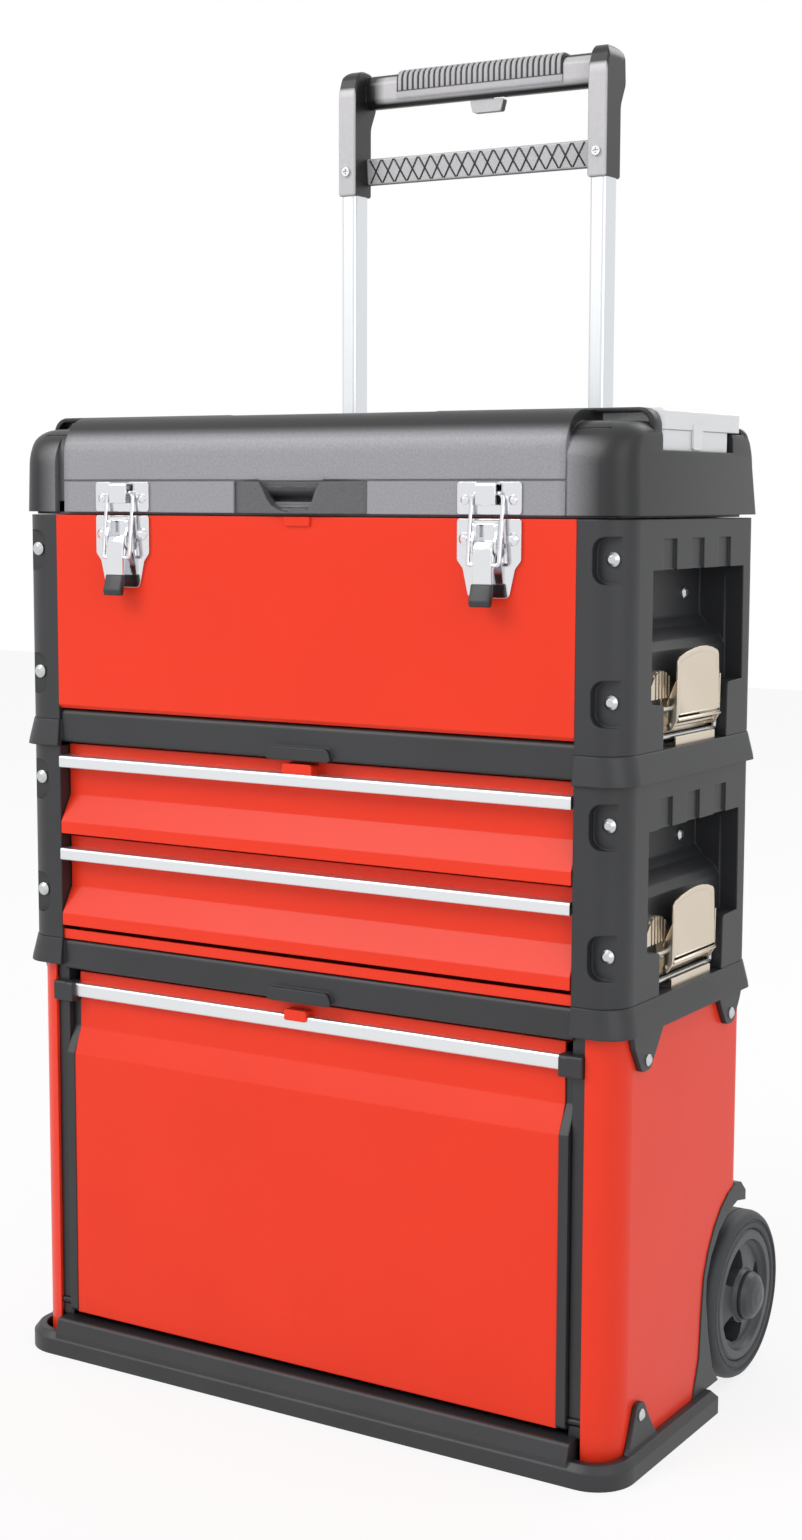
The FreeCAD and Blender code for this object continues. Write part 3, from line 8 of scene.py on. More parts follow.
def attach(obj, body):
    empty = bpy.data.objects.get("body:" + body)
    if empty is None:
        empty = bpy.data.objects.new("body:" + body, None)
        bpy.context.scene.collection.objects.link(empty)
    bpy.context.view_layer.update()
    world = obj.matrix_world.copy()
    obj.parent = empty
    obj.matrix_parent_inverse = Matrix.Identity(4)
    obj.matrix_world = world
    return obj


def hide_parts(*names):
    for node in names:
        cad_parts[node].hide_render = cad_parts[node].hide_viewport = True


# Modular tool trolley, dressed over its CAD frame. Metres, +X right, +Y back, +Z up.

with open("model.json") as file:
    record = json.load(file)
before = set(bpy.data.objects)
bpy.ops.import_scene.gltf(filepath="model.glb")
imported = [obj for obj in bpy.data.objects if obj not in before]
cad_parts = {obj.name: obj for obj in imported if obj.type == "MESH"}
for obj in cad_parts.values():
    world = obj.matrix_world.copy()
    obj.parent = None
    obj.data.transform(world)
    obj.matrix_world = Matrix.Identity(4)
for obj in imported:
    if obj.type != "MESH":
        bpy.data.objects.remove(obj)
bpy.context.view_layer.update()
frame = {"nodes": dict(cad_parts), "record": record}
cadNodes = frame["nodes"]
print("stage: frame loaded,", len(cadNodes), "nodes")


# Colours and nodes

def hexColour(code, alpha=1.0):
    channels = []
    for start in (0, 2, 4):
        value = int(code[start:start + 2], 16) / 255.0
        channels.append(value / 12.92 if value <= 0.04045 else ((value + 0.055) / 1.055) ** 2.4)
    return (channels[0], channels[1], channels[2], alpha)


def addNode(tree, kind, settings=None, values=None, links=None):
    node = tree.nodes.new(kind)
    for name, value in (settings or {}).items():
        setattr(node, name, value)
    for socket, value in (values or {}).items():
        node.inputs[socket].default_value = value
    for socket, source in (links or {}).items():
        tree.links.new(source, node.inputs[socket])
    return node


def startMaterial(name):
    material = bpy.data.materials.new(name)
    material.use_nodes = True
    tree = material.node_tree
    tree.nodes.clear()
    output = addNode(tree, "ShaderNodeOutputMaterial")
    shader = addNode(tree, "ShaderNodeBsdfPrincipled")
    tree.links.new(shader.outputs["BSDF"], output.inputs["Surface"])
    coordinates = addNode(tree, "ShaderNodeTexCoord")
    return material, tree, shader, coordinates.outputs["Object"]


def softEdges(tree, radius):
    # rounds the look of moulded and pressed edges by this radius
    return addNode(tree, "ShaderNodeBevel", {"samples": 4}, {"Radius": radius}).outputs["Normal"]


# Baked enamel on sheet steel: even orange-red with a faint orange peel and a glossy skin
enamelLook = {
    "colour": "EA3A20",
    "deepColour": "E0341B",
    "peelSize": 0.0022,
    "peelDepth": 0.00004,
    "roughness": 0.34,
    "specular": 0.22,
    "edge": 0.0012,
}


def makeBakedEnamel():
    look = enamelLook
    material, tree, shader, place = startMaterial("bakedEnamel")
    cloud = addNode(tree, "ShaderNodeTexNoise", None, {"Scale": 9.0, "Detail": 3.0}, {"Vector": place})
    tint = addNode(tree, "ShaderNodeMix", {"data_type": "RGBA"},
                   {6: hexColour(look["colour"]), 7: hexColour(look["deepColour"])},
                   {0: cloud.outputs["Fac"]})
    tree.links.new(tint.outputs[2], shader.inputs["Base Color"])
    peel = addNode(tree, "ShaderNodeTexNoise", None,
                   {"Scale": 1.0 / look["peelSize"], "Detail": 1.0}, {"Vector": place})
    bump = addNode(tree, "ShaderNodeBump", None, {"Strength": 0.5, "Distance": look["peelDepth"]},
                   {"Height": peel.outputs["Fac"], "Normal": softEdges(tree, look["edge"])})
    tree.links.new(bump.outputs["Normal"], shader.inputs["Normal"])
    shader.inputs["Roughness"].default_value = look["roughness"]
    shader.inputs["Specular IOR Level"].default_value = look["specular"]
    return material


# ABS moulded in a spark-eroded tool: black with a fine pebble that greys it where light grazes
absLook = {
    "colour": "1A1B1D",
    "rubbedColour": "2C2D30",
    "grain": 0.0011,
    "grainDepth": 0.00013,
    "roughness": 0.46,
    "edge": 0.0016,
}


def makePebbledAbs():
    look = absLook
    material, tree, shader, place = startMaterial("pebbledAbs")
    cloud = addNode(tree, "ShaderNodeTexNoise", None, {"Scale": 14.0, "Detail": 4.0}, {"Vector": place})
    tint = addNode(tree, "ShaderNodeMix", {"data_type": "RGBA"},
                   {6: hexColour(look["colour"]), 7: hexColour(look["rubbedColour"])},
                   {0: cloud.outputs["Fac"]})
    tree.links.new(tint.outputs[2], shader.inputs["Base Color"])
    pebble = addNode(tree, "ShaderNodeTexVoronoi", {"feature": "SMOOTH_F1"},
                     {"Scale": 1.0 / look["grain"], "Smoothness": 0.6}, {"Vector": place})
    bump = addNode(tree, "ShaderNodeBump", None, {"Strength": 0.35, "Distance": look["grainDepth"]},
                   {"Height": pebble.outputs["Distance"], "Normal": softEdges(tree, look["edge"])})
    tree.links.new(bump.outputs["Normal"], shader.inputs["Normal"])
    shader.inputs["Roughness"].default_value = look["roughness"]
    shader.inputs["IOR"].default_value = 1.53
    return material


# The same black ABS with a painted sheen: grey painted by place on the fronts of the lid and the handle
# stands for the lamps' highlight there, and its fade back to black paints shade. Each patch lists fades from
# full painted
# sheen to none along an axis: "left" is -X, "down" is -Z, and X is taken without its sign
paintedSheenLooks = {
    # lid: painted sheen on the front, fading to painted shade over the top rounding, in the grooves and
    # towards both ends
    "sheenPaintedLid": {"colour": "17181A", "sheenColour": "7D7C81", "sheenSpeckColour": "9E9DA2", "grain": 0.0016,
                  "grainDepth": 0.00016, "roughness": 0.42, "edge": 0.0012,
                  "sheenPatches": ((("Y", -0.1068, -0.1030), ("Z", 0.7080, 0.7200), ("X", 0.2050, 0.2360)),)},
    # lip below the scoop: a dimmer painted sheen on its front
    "sheenPaintedPlate": {"colour": "17181A", "sheenColour": "48474A", "sheenSpeckColour": "656468", "grain": 0.0016,
                    "grainDepth": 0.00016, "roughness": 0.42, "edge": 0.0012,
                    "sheenPatches": ((("Y", -0.1068, -0.1030),),)},
    # yoke: painted sheen on the arms' fronts fading to painted shade on their tops, on the lower bar's front,
    # and on the grip's front fading to painted shade at its left end and low down
    "sheenPaintedYoke": {"colour": "161718", "sheenColour": "B5B3B6", "sheenSpeckColour": "C3C1C4", "grain": 0.0030,
                   "grainDepth": 0.00006, "roughness": 0.36, "edge": 0.0008,
                   "sheenPatches": ((("Y", 0.1246, 0.1256), ("Z", 0.9930, 1.0010)),
                               (("Y", 0.1430, 0.1440), ("X", 0.1024, 0.1034), ("Z", 0.9500, 0.9550)),
                               (("Y", 0.1430, 0.1440), ("X", 0.1024, 0.1034), ("left", 0.0860, 0.0960),
                                ("down", -0.9815, -0.9795)))},
    # button: painted sheen on its front
    "sheenPaintedButton": {"colour": "161718", "sheenColour": "B5B3B6", "sheenSpeckColour": "C3C1C4", "grain": 0.0030,
                     "grainDepth": 0.00006, "roughness": 0.36, "edge": 0.0008,
                     "sheenPatches": ((("Y", 0.1467, 0.1474),),)},
    # pad: painted sheen on its lower front, painted shade on its top
    "sheenPaintedPad": {"colour": "131314", "sheenColour": "AFADB0", "sheenSpeckColour": "BBB9BC", "grain": 0.0030,
                  "grainDepth": 0.00006, "roughness": 0.50, "edge": 0.0006,
                  "sheenPatches": ((("Z", 0.9874, 0.9884),),)},
    # ribs: painted sheen all over in place of the black rubber, a little darker low down
    "sheenPaintedRibs": {"colour": "AFADB0", "sheenColour": "A4A2A5", "sheenSpeckColour": "B5B3B6", "grain": 0.0020,
                   "grainDepth": 0.00006, "roughness": 0.50, "edge": 0.0006,
                   "sheenPatches": ((("Z", 1.0030, 1.0060),),)},
}


def paintedSheenMask(tree, place, sheenPatches):
    # each patch of painted sheen is the product of its fades along X, Y or Z, and the strongest patch counts
    axes = addNode(tree, "ShaderNodeSeparateXYZ", None, None, {"Vector": place})
    whole = None
    for fades in sheenPatches:
        share = None
        for axis, near, far in fades:
            value = axes.outputs[{"left": "X", "down": "Z"}.get(axis, axis)]
            if axis == "X":
                value = addNode(tree, "ShaderNodeMath", {"operation": "ABSOLUTE"}, None,
                                {0: value}).outputs[0]
            if axis in ("left", "down"):
                value = addNode(tree, "ShaderNodeMath", {"operation": "MULTIPLY"}, {1: -1.0},
                                {0: value}).outputs[0]
            fade = addNode(tree, "ShaderNodeMapRange", None,
                           {"From Min": near, "From Max": far, "To Min": 1.0, "To Max": 0.0},
                           {"Value": value}).outputs["Result"]
            share = fade if share is None else addNode(
                tree, "ShaderNodeMath", {"operation": "MULTIPLY"}, None, {0: share, 1: fade}).outputs[0]
        whole = share if whole is None else addNode(
            tree, "ShaderNodeMath", {"operation": "MAXIMUM"}, None, {0: whole, 1: share}).outputs[0]
    return whole


def makeAbsWithPaintedSheen(name):
    look = paintedSheenLooks[name]
    material, tree, shader, place = startMaterial(name)
    share = paintedSheenMask(tree, place, look["sheenPatches"])
    speck = addNode(tree, "ShaderNodeTexNoise", None, {"Scale": 1.0 / look["grain"], "Detail": 3.0},
                    {"Vector": place})
    grey = addNode(tree, "ShaderNodeMix", {"data_type": "RGBA"},
                   {6: hexColour(look["sheenColour"]), 7: hexColour(look["sheenSpeckColour"])},
                   {0: speck.outputs["Fac"]})
    # the painted sheen laid over the black by its mask
    tint = addNode(tree, "ShaderNodeMix", {"data_type": "RGBA"}, {6: hexColour(look["colour"])},
                   {0: share, 7: grey.outputs[2]})
    tree.links.new(tint.outputs[2], shader.inputs["Base Color"])
    bump = addNode(tree, "ShaderNodeBump", None, {"Strength": 0.5, "Distance": look["grainDepth"]},
                   {"Height": speck.outputs["Fac"], "Normal": softEdges(tree, look["edge"])})
    tree.links.new(bump.outputs["Normal"], shader.inputs["Normal"])
    shader.inputs["Roughness"].default_value = look["roughness"]
    return material


# Metals: brushed or drawn along one axis, so their sheen stretches across it
metalLooks = {
    "satinAluminium": {"colour": "E4E6E8", "roughness": 0.34, "stretch": (4.0, 900.0, 900.0),
                       "depth": 0.00003, "edge": 0.0008},
    "satinTube": {"colour": "DDE0E3", "roughness": 0.32, "stretch": (900.0, 900.0, 5.0),
                  "depth": 0.00003, "edge": 0.0008},
    "blackenedSteel": {"colour": "3A3A3C", "roughness": 0.42, "stretch": (300.0, 300.0, 300.0),
                       "depth": 0.00003, "edge": 0.0006},
    "zincPlate": {"colour": "C9CBCC", "roughness": 0.30, "stretch": (300.0, 300.0, 300.0),
                  "depth": 0.00003, "edge": 0.0006},
    "warmNickel": {"colour": "D9CDBB", "roughness": 0.30, "stretch": (500.0, 12.0, 500.0),
                   "depth": 0.00002, "edge": 0.0006},
    "polishedChrome": {"colour": "E2E3E6", "roughness": 0.10, "stretch": (200.0, 200.0, 200.0),
                       "depth": 0.00001, "edge": 0.0006},
}


def makeMetal(name):
    look = metalLooks[name]
    material, tree, shader, place = startMaterial(name)
    drawn = addNode(tree, "ShaderNodeMapping", None, {"Scale": look["stretch"]}, {"Vector": place})
    lines = addNode(tree, "ShaderNodeTexNoise", None, {"Scale": 1.0, "Detail": 3.0},
                    {"Vector": drawn.outputs["Vector"]})
    spread = addNode(tree, "ShaderNodeMapRange", None,
                     {"To Min": look["roughness"] * 0.75, "To Max": look["roughness"] * 1.3},
                     {"Value": lines.outputs["Fac"]})
    tree.links.new(spread.outputs["Result"], shader.inputs["Roughness"])
    bump = addNode(tree, "ShaderNodeBump", None, {"Strength": 0.3, "Distance": look["depth"]},
                   {"Height": lines.outputs["Fac"], "Normal": softEdges(tree, look["edge"])})
    tree.links.new(bump.outputs["Normal"], shader.inputs["Normal"])
    shader.inputs["Base Color"].default_value = hexColour(look["colour"])
    shader.inputs["Metallic"].default_value = 1.0
    return material


# Plastics and rubbers of the small parts
plasticLooks = {
    "milkyPolypropylene": {"colour": "F7F9FB", "roughness": 0.32, "grain": 0.004, "depth": 0.00004,
                           "transmission": 0.30, "edge": 0.0010},
    "wheelPolypropylene": {"colour": "3A3D40", "roughness": 0.42, "grain": 0.0012, "depth": 0.00006,
                           "transmission": 0.0, "edge": 0.0008},
    "tyreRubber": {"colour": "33363A", "roughness": 0.58, "grain": 0.0010, "depth": 0.00010,
                   "transmission": 0.0, "edge": 0.0012},
    "gripRubber": {"colour": "131314", "roughness": 0.62, "grain": 0.0008, "depth": 0.00008,
                   "transmission": 0.0, "edge": 0.0006},
}


def makePlastic(name):
    look = plasticLooks[name]
    material, tree, shader, place = startMaterial(name)
    grain = addNode(tree, "ShaderNodeTexNoise", None, {"Scale": 1.0 / look["grain"], "Detail": 2.0},
                    {"Vector": place})
    bump = addNode(tree, "ShaderNodeBump", None, {"Strength": 0.4, "Distance": look["depth"]},
                   {"Height": grain.outputs["Fac"], "Normal": softEdges(tree, look["edge"])})
    tree.links.new(bump.outputs["Normal"], shader.inputs["Normal"])
    spread = addNode(tree, "ShaderNodeMapRange", None,
                     {"To Min": look["roughness"] * 0.85, "To Max": look["roughness"] * 1.15},
                     {"Value": grain.outputs["Fac"]})
    tree.links.new(spread.outputs["Result"], shader.inputs["Roughness"])
    shader.inputs["Base Color"].default_value = hexColour(look["colour"])
    shader.inputs["Transmission Weight"].default_value = look["transmission"]
    return material


finishes = {"bakedEnamel": makeBakedEnamel(), "pebbledAbs": makePebbledAbs()}
for metalName in metalLooks:
    finishes[metalName] = makeMetal(metalName)
for plasticName in plasticLooks:
    finishes[plasticName] = makePlastic(plasticName)
for sheenLookName in paintedSheenLooks:
    finishes[sheenLookName] = makeAbsWithPaintedSheen(sheenLookName)
print("stage: materials made,", len(finishes))


# Which finish each CAD node wears, by the record's slot, with a few nodes of their own
slotFinish = {
    "red_enamel": "bakedEnamel",
    "black_moulding": "pebbledAbs",
    "satin_aluminium": "satinAluminium",
    "bright_steel": "zincPlate",
    "latch_nickel": "warmNickel",
    "latch_chrome": "polishedChrome",
    "organiser_clear": "milkyPolypropylene",
    "wheel_plastic": "wheelPolypropylene",
    "wheel_rubber": "tyreRubber",
    "grip_rubber": "gripRubber",
}
# the yoke and its button wear the painted sheen
nodeFinish = {"handle_tubes": "satinTube", "bin_pins": "blackenedSteel", "handle_yoke": "sheenPaintedYoke",
              "release_button": "sheenPaintedButton"}


def dressFrame():
    for part in frame["record"]["subparts"]:
        name = part["node"]
        finish = nodeFinish.get(name, slotFinish[part["material_slot"]])
        mesh = cadNodes[name].data
        mesh.materials.clear()
        mesh.materials.append(finishes[finish])


dressFrame()
print("stage: frame dressed")


# Modelling steps that every new piece shares

def selectOnly(*pieces):
    bpy.ops.object.select_all(action="DESELECT")
    for piece in pieces:
        piece.select_set(True)
    bpy.context.view_layer.objects.active = pieces[0]


def editAll(piece, kind="VERT"):
    selectOnly(piece)
    bpy.ops.object.mode_set(mode="EDIT")
    bpy.ops.mesh.select_mode(type=kind)
    bpy.ops.mesh.select_all(action="SELECT")


def endEdit():
    bpy.ops.object.mode_set(mode="OBJECT")


def drawLine(name, points):
    # a plane merged to one point, extruded from corner to corner
    bpy.ops.object.select_all(action="DESELECT")
    bpy.ops.mesh.primitive_plane_add(size=0.001, location=(0.0, 0.0, 0.0))
    piece = bpy.context.active_object
    piece.name = name
    piece.data.name = name
    editAll(piece)
    bpy.ops.mesh.merge(type="CENTER")
    bpy.ops.transform.translate(value=points[0])
    for last, point in zip(points, points[1:]):
        step = Vector(point) - Vector(last)
        bpy.ops.mesh.extrude_region_move(TRANSFORM_OT_translate={"value": step})
    endEdit()
    return piece


def drawBlock(name, points, across):
    # the closed outline of a piece, filled and extruded across its width
    piece = drawLine(name, points)
    editAll(piece)
    bpy.ops.mesh.edge_face_add()
    bpy.ops.mesh.select_mode(type="FACE")
    bpy.ops.mesh.select_all(action="SELECT")
    bpy.ops.mesh.extrude_region_move(TRANSFORM_OT_translate={"value": across})
    bpy.ops.mesh.select_all(action="SELECT")
    bpy.ops.mesh.normals_make_consistent(inside=False)
    endEdit()
    return piece


def spinLine(name, profile, centre, steps):
    # radius and X of each corner, turned once about an axis along X
    line = [(x, centre[1] + radius, centre[2]) for radius, x in profile]
    piece = drawLine(name, line)
    editAll(piece)
    bpy.ops.mesh.spin(steps=steps, angle=math.tau, center=centre, axis=(1.0, 0.0, 0.0))
    bpy.ops.mesh.select_all(action="SELECT")
    bpy.ops.mesh.remove_doubles(threshold=0.00001)
    bpy.ops.mesh.normals_make_consistent(inside=False)
    endEdit()
    return piece


def bendWire(name, points, radius, bend):
    # a line with rounded corners, given a round section
    piece = drawLine(name, points)
    editAll(piece)
    bpy.ops.mesh.bevel(offset=bend, segments=5, affect="VERTICES")
    endEdit()
    bpy.ops.object.convert(target="CURVE")
    curve = bpy.context.active_object
    curve.data.bevel_depth = radius
    curve.data.bevel_resolution = 4
    curve.data.use_fill_caps = True
    bpy.ops.object.convert(target="MESH")
    return bpy.context.active_object


def pickFaces(piece, rule):
    # leaves the piece in edit mode with the faces that answer the rule
    editAll(piece, "FACE")
    bpy.ops.mesh.select_all(action="DESELECT")
    mesh = bmesh.from_edit_mesh(piece.data)
    for face in mesh.faces:
        face.select_set(rule(face.calc_center_median(), face.normal))
    bmesh.update_edit_mesh(piece.data)


def applyModifier(piece, name, kind, settings):
    selectOnly(piece)
    modifier = piece.modifiers.new(name, kind)
    for setting, value in settings.items():
        setattr(modifier, setting, value)
    bpy.ops.object.modifier_apply(modifier=name)


def roundEdges(piece, width, segments=2, angle=30.0):
    applyModifier(piece, "roundedEdges", "BEVEL", {"width": width, "segments": segments,
                  "limit_method": "ANGLE", "angle_limit": math.radians(angle), "use_clamp_overlap": True})


def joinPieces(*pieces):
    selectOnly(*pieces)
    bpy.ops.object.join()
    return pieces[0]


def copyPiece(piece, name, shift=(0.0, 0.0, 0.0), mirrored=False):
    selectOnly(piece)
    bpy.ops.object.duplicate(linked=False)
    twin = bpy.context.active_object
    twin.name = name
    twin.data.name = name
    editAll(twin)
    bpy.ops.transform.translate(value=shift)
    if mirrored:
        bpy.ops.transform.resize(value=(-1.0, 1.0, 1.0), center_override=(0.0, 0.0, 0.0))
        bpy.ops.mesh.select_all(action="SELECT")
        bpy.ops.mesh.normals_make_consistent(inside=False)
    endEdit()
    return twin


def wear(piece, finish, body, slot, *replaced):
    selectOnly(piece)
    bpy.ops.object.shade_smooth_by_angle(angle=math.radians(32.0))
    piece.data.materials.clear()
    piece.data.materials.append(finishes[finish])
    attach(piece, body)
    if replaced:
        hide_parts(*replaced)


def alongX(path, x):
    return [(x, y, z) for y, z in path]


# Front draw latches: chrome lever with a black tip, and a bent wire bail
frontLatch = {
    "x": 0.155,
    "armHalf": 0.0074,
    "arm": [(-0.1126, 0.6365), (-0.1160, 0.6401), (-0.1190, 0.6395), (-0.1206, 0.6350), (-0.1217, 0.6280),
            (-0.1217, 0.6105), (-0.1190, 0.6105), (-0.1178, 0.6200), (-0.1138, 0.6320)],
    "tipHalf": 0.0080,
    "tip": [(-0.1188, 0.6115), (-0.1224, 0.6115), (-0.1238, 0.6060), (-0.1260, 0.6000), (-0.1250, 0.5962),
            (-0.1210, 0.5962), (-0.1194, 0.6050)],
    "armRound": 0.0007,
    "tipRound": 0.00112,
    "channel": (0.612, 0.636),
    "channelBorder": 0.0022,
    "channelDepth": 0.0006,
    "knuckle": (-0.1193, 0.6240),
    "bar": (-0.1136, 0.6718),
    "footHalf": 0.0050,
    "legHalf": 0.0120,
    "barHalf": 0.0090,
    "shoulder": 0.0030,
    "wire": 0.0015,
    "bend": 0.0022,
}


def makeFrontLatch(side, sign):
    latch = frontLatch
    x = latch["x"]
    body = "front_lever_" + side
    arm = drawBlock("frontLatchLever_" + side, alongX(latch["arm"], x - latch["armHalf"]),
                    (2.0 * latch["armHalf"], 0.0, 0.0))
    # a shallow channel pressed down the lever
    low, high = latch["channel"]
    pickFaces(arm, lambda place, normal: normal.y < -0.9 and low < place.z < high)
    bpy.ops.mesh.inset(thickness=latch["channelBorder"])
    bpy.ops.transform.translate(value=(0.0, latch["channelDepth"], 0.0))
    endEdit()
    roundEdges(arm, latch["armRound"])
    tip = drawBlock("frontLatchTip_" + side, alongX(latch["tip"], x - latch["tipHalf"]),
                    (2.0 * latch["tipHalf"], 0.0, 0.0))
    roundEdges(tip, latch["tipRound"], 3)
    ky, kz = latch["knuckle"]
    by, bz = latch["bar"]
    foot = latch["footHalf"]
    leg = latch["legHalf"]
    bar = latch["barHalf"]
    sz = bz - latch["shoulder"]
    sy = ky + (sz - kz) * (by - ky) / (bz - kz)
    points = [(x - foot, ky, kz), (x - leg, ky, kz), (x - leg, sy, sz), (x - bar, by, bz),
              (x + bar, by, bz), (x + leg, sy, sz), (x + leg, ky, kz), (x + foot, ky, kz)]
    bail = bendWire("frontLatchBail_" + side, points, latch["wire"], latch["bend"])
    if sign < 0:
        plain = (arm, tip, bail)
        arm, tip, bail = [copyPiece(piece, piece.name + "_m", mirrored=True) for piece in plain]
        for piece in plain:
            bpy.data.objects.remove(piece)
    wear(arm, "polishedChrome", body, "latch_chrome", body)
    wear(tip, "pebbledAbs", body, "black_moulding")
    wear(bail, "polishedChrome", "front_bail_" + side, "latch_chrome", "front_bail_" + side)


for latchSide, latchSign in (("right", 1), ("left", -1)):
    makeFrontLatch(latchSide, latchSign)
print("stage: front latches")


# Side latches: pressed plate lever with curled foot and side ears, and a wide wire bail
sideLatch = {
    "lows": {"mid": 0.331, "top": 0.500},
    "faceX": 0.2516,
    "sheet": 0.0016,
    "front": -0.0207,
    "back": 0.0490,
    "outline": [(-0.0207, 0.0176), (-0.0214, 0.0400), (-0.0225, 0.0585), (-0.0195, 0.0612), (-0.0080, 0.0640),
                (0.0040, 0.0659), (0.0140, 0.0668), (0.0240, 0.0667), (0.0350, 0.0652), (0.0440, 0.0626),
                (0.0462, 0.0600), (0.0478, 0.0400), (0.0490, 0.0176)],
    "ear": [(0.2452, 0.0104), (0.2490, 0.0104), (0.2528, 0.0170), (0.2530, 0.0460), (0.2512, 0.0440),
            (0.2452, 0.0300)],
    "toe": [(0.2516, 0.0216), (0.2513, 0.0180), (0.2530, 0.0166), (0.2543, 0.0172), (0.2543, 0.0184),
            (0.2532, 0.0190), (0.2532, 0.0216)],
    "border": 0.0034,
    "pressSlope": 0.0008,
    "press": 0.0006,
    "earSheet": 0.0015,
    "round": 0.0005,
    "smallRound": 0.0004,
    "knuckle": (0.2475, 0.0260),
    "barX": 0.2470,
    "barRise": 0.0065,
    "bailFront": -0.0380,
    "bailBack": 0.0532,
    "bailStart": 0.0004,
    "wire": 0.0018,
    "bend": 0.0020,
}


def makeSideLatch(level, side, sign):
    latch = sideLatch
    low = latch["lows"][level]
    name = level + "LatchPlate_" + side
    outline = [(latch["faceX"], y, low + z) for y, z in latch["outline"]]
    plate = drawBlock(name, outline, (latch["sheet"], 0.0, 0.0))
    pickFaces(plate, lambda place, normal: normal.x > 0.9)
    bpy.ops.mesh.inset(thickness=latch["border"])
    bpy.ops.mesh.inset(thickness=latch["pressSlope"])
    bpy.ops.transform.translate(value=(-latch["press"], 0.0, 0.0))
    endEdit()
    roundEdges(plate, latch["round"], 2, 40.0)
    ears = []
    sheet = latch["earSheet"]
    for y in (latch["front"] - sheet, latch["back"]):
        ear = drawBlock(name + "Ear", [(x, y, low + z) for x, z in latch["ear"]], (0.0, sheet, 0.0))
        roundEdges(ear, latch["smallRound"])
        ears.append(ear)
    toe = drawBlock(name + "Toe", [(x, latch["front"], low + z) for x, z in latch["toe"]],
                    (0.0, latch["back"] - latch["front"], 0.0))
    roundEdges(toe, latch["smallRound"])
    plate = joinPieces(plate, ears[0], ears[1], toe)
    kx, kz = latch["knuckle"]
    top = low + kz
    bottom = low + latch["barRise"]
    y0 = latch["bailFront"]
    y1 = latch["bailBack"]
    start = latch["bailStart"]
    points = [(kx, latch["front"] - start, top), (kx, y0, top), (latch["barX"], y0, bottom),
              (latch["barX"], y1, bottom), (kx, y1, top), (kx, latch["back"] + start, top)]
    bail = bendWire(level + "LatchBail_" + side, points, latch["wire"], latch["bend"])
    if sign < 0:
        plain = (plate, bail)
        plate, bail = [copyPiece(piece, piece.name + "_m", mirrored=True) for piece in plain]
        for piece in plain:
            bpy.data.objects.remove(piece)
    lever = "%s_lever_%s" % (level, side)
    wire = "%s_bail_%s" % (level, side)
    wear(plate, "warmNickel", lever, "latch_nickel", lever)
    wear(bail, "zincPlate", wire, "latch_nickel", wire)


for latchLevel in sideLatch["lows"]:
    for latchSide, latchSign in (("right", 1), ("left", -1)):
        makeSideLatch(latchLevel, latchSide, latchSign)
print("stage: side latches")


# Tyres: rounded tread with running grooves, and a stepped side ring towards the rim. Beads count up from
# the inner radius, shoulders down from the tread, and both inwards from their side of the tyre
tyre = {
    "centre": (0.0, 0.129, 0.064),
    "radius": 0.0640,
    "inner": 0.0500,
    "innerX": 0.2180,
    "outerX": 0.2500,
    "innerBead": [(0.0, 0.0030), (0.0030, 0.0008), (0.0060, 0.0)],
    "innerShoulder": [(0.0060, 0.0), (0.0030, 0.0006), (0.0010, 0.0024), (0.0, 0.0050)],
    "outerShoulder": [(0.0, 0.0068), (0.0006, 0.0044), (0.0020, 0.0020), (0.0040, 0.0006), (0.0058, 0.0),
                      (0.0066, 0.0004), (0.0070, 0.0016), (0.0086, 0.0016), (0.0092, 0.0008)],
    "outerBead": [(0.0018, 0.0008), (0.0008, 0.0016), (0.0, 0.0030)],
    "grooves": (0.2250, 0.2315, 0.2380),
    "grooveHalf": 0.00112,
    "grooveBedHalf": 0.00042,
    "grooveDepth": 0.0012,
    "steps": 96,
}


def makeTyre(side, sign):
    tread = tyre["radius"]
    inner = tyre["inner"]
    x0 = tyre["innerX"]
    x1 = tyre["outerX"]
    wide = tyre["grooveHalf"]
    narrow = tyre["grooveBedHalf"]
    bed = tread - tyre["grooveDepth"]
    profile = [(inner + up, x0 + along) for up, along in tyre["innerBead"]]
    profile += [(tread - down, x0 + along) for down, along in tyre["innerShoulder"]]
    for x in tyre["grooves"]:
        profile += [(tread, x - wide), (bed, x - narrow), (bed, x + narrow), (tread, x + wide)]
    profile += [(tread - down, x1 - along) for down, along in tyre["outerShoulder"]]
    profile += [(inner + up, x1 - along) for up, along in tyre["outerBead"]]
    profile.append(profile[0])
    piece = spinLine("tyreRing_" + side, profile, tyre["centre"], tyre["steps"])
    if sign < 0:
        plain = piece
        piece = copyPiece(plain, "tyreRing_left", mirrored=True)
        bpy.data.objects.remove(plain)
    wear(piece, "tyreRubber", "wheel_" + side, "wheel_rubber", "wheel_tyre_" + side)


for tyreSide, tyreSign in (("right", 1), ("left", -1)):
    makeTyre(tyreSide, tyreSign)
print("stage: tyres")


# Soft grip: a pad over the top of the handle, with rounded ribs across its upper front
gripPad = {
    "half": 0.0740,
    "section": [(0.1422, 0.9840), (0.1402, 0.9820), (0.1390, 0.9836), (0.1390, 0.9975), (0.1402, 1.0012),
                (0.1435, 1.0042), (0.1462, 1.0050), (0.1536, 1.0044), (0.1540, 1.0010), (0.1460, 1.0010),
                (0.1422, 0.9965)],
    "ribSection": [(0.1396, 0.9880), (0.1386, 0.9890), (0.1386, 0.9980), (0.1398, 1.0018), (0.1432, 1.0047),
                   (0.1462, 1.0056), (0.1530, 1.0050), (0.1538, 1.0040), (0.1462, 1.0040), (0.1420, 1.0000)],
    "round": 0.0005,
    "ribRound": 0.0004,
    "ribWidth": 0.0031,
    "pitch": 0.0049,
    "count": 30,
}


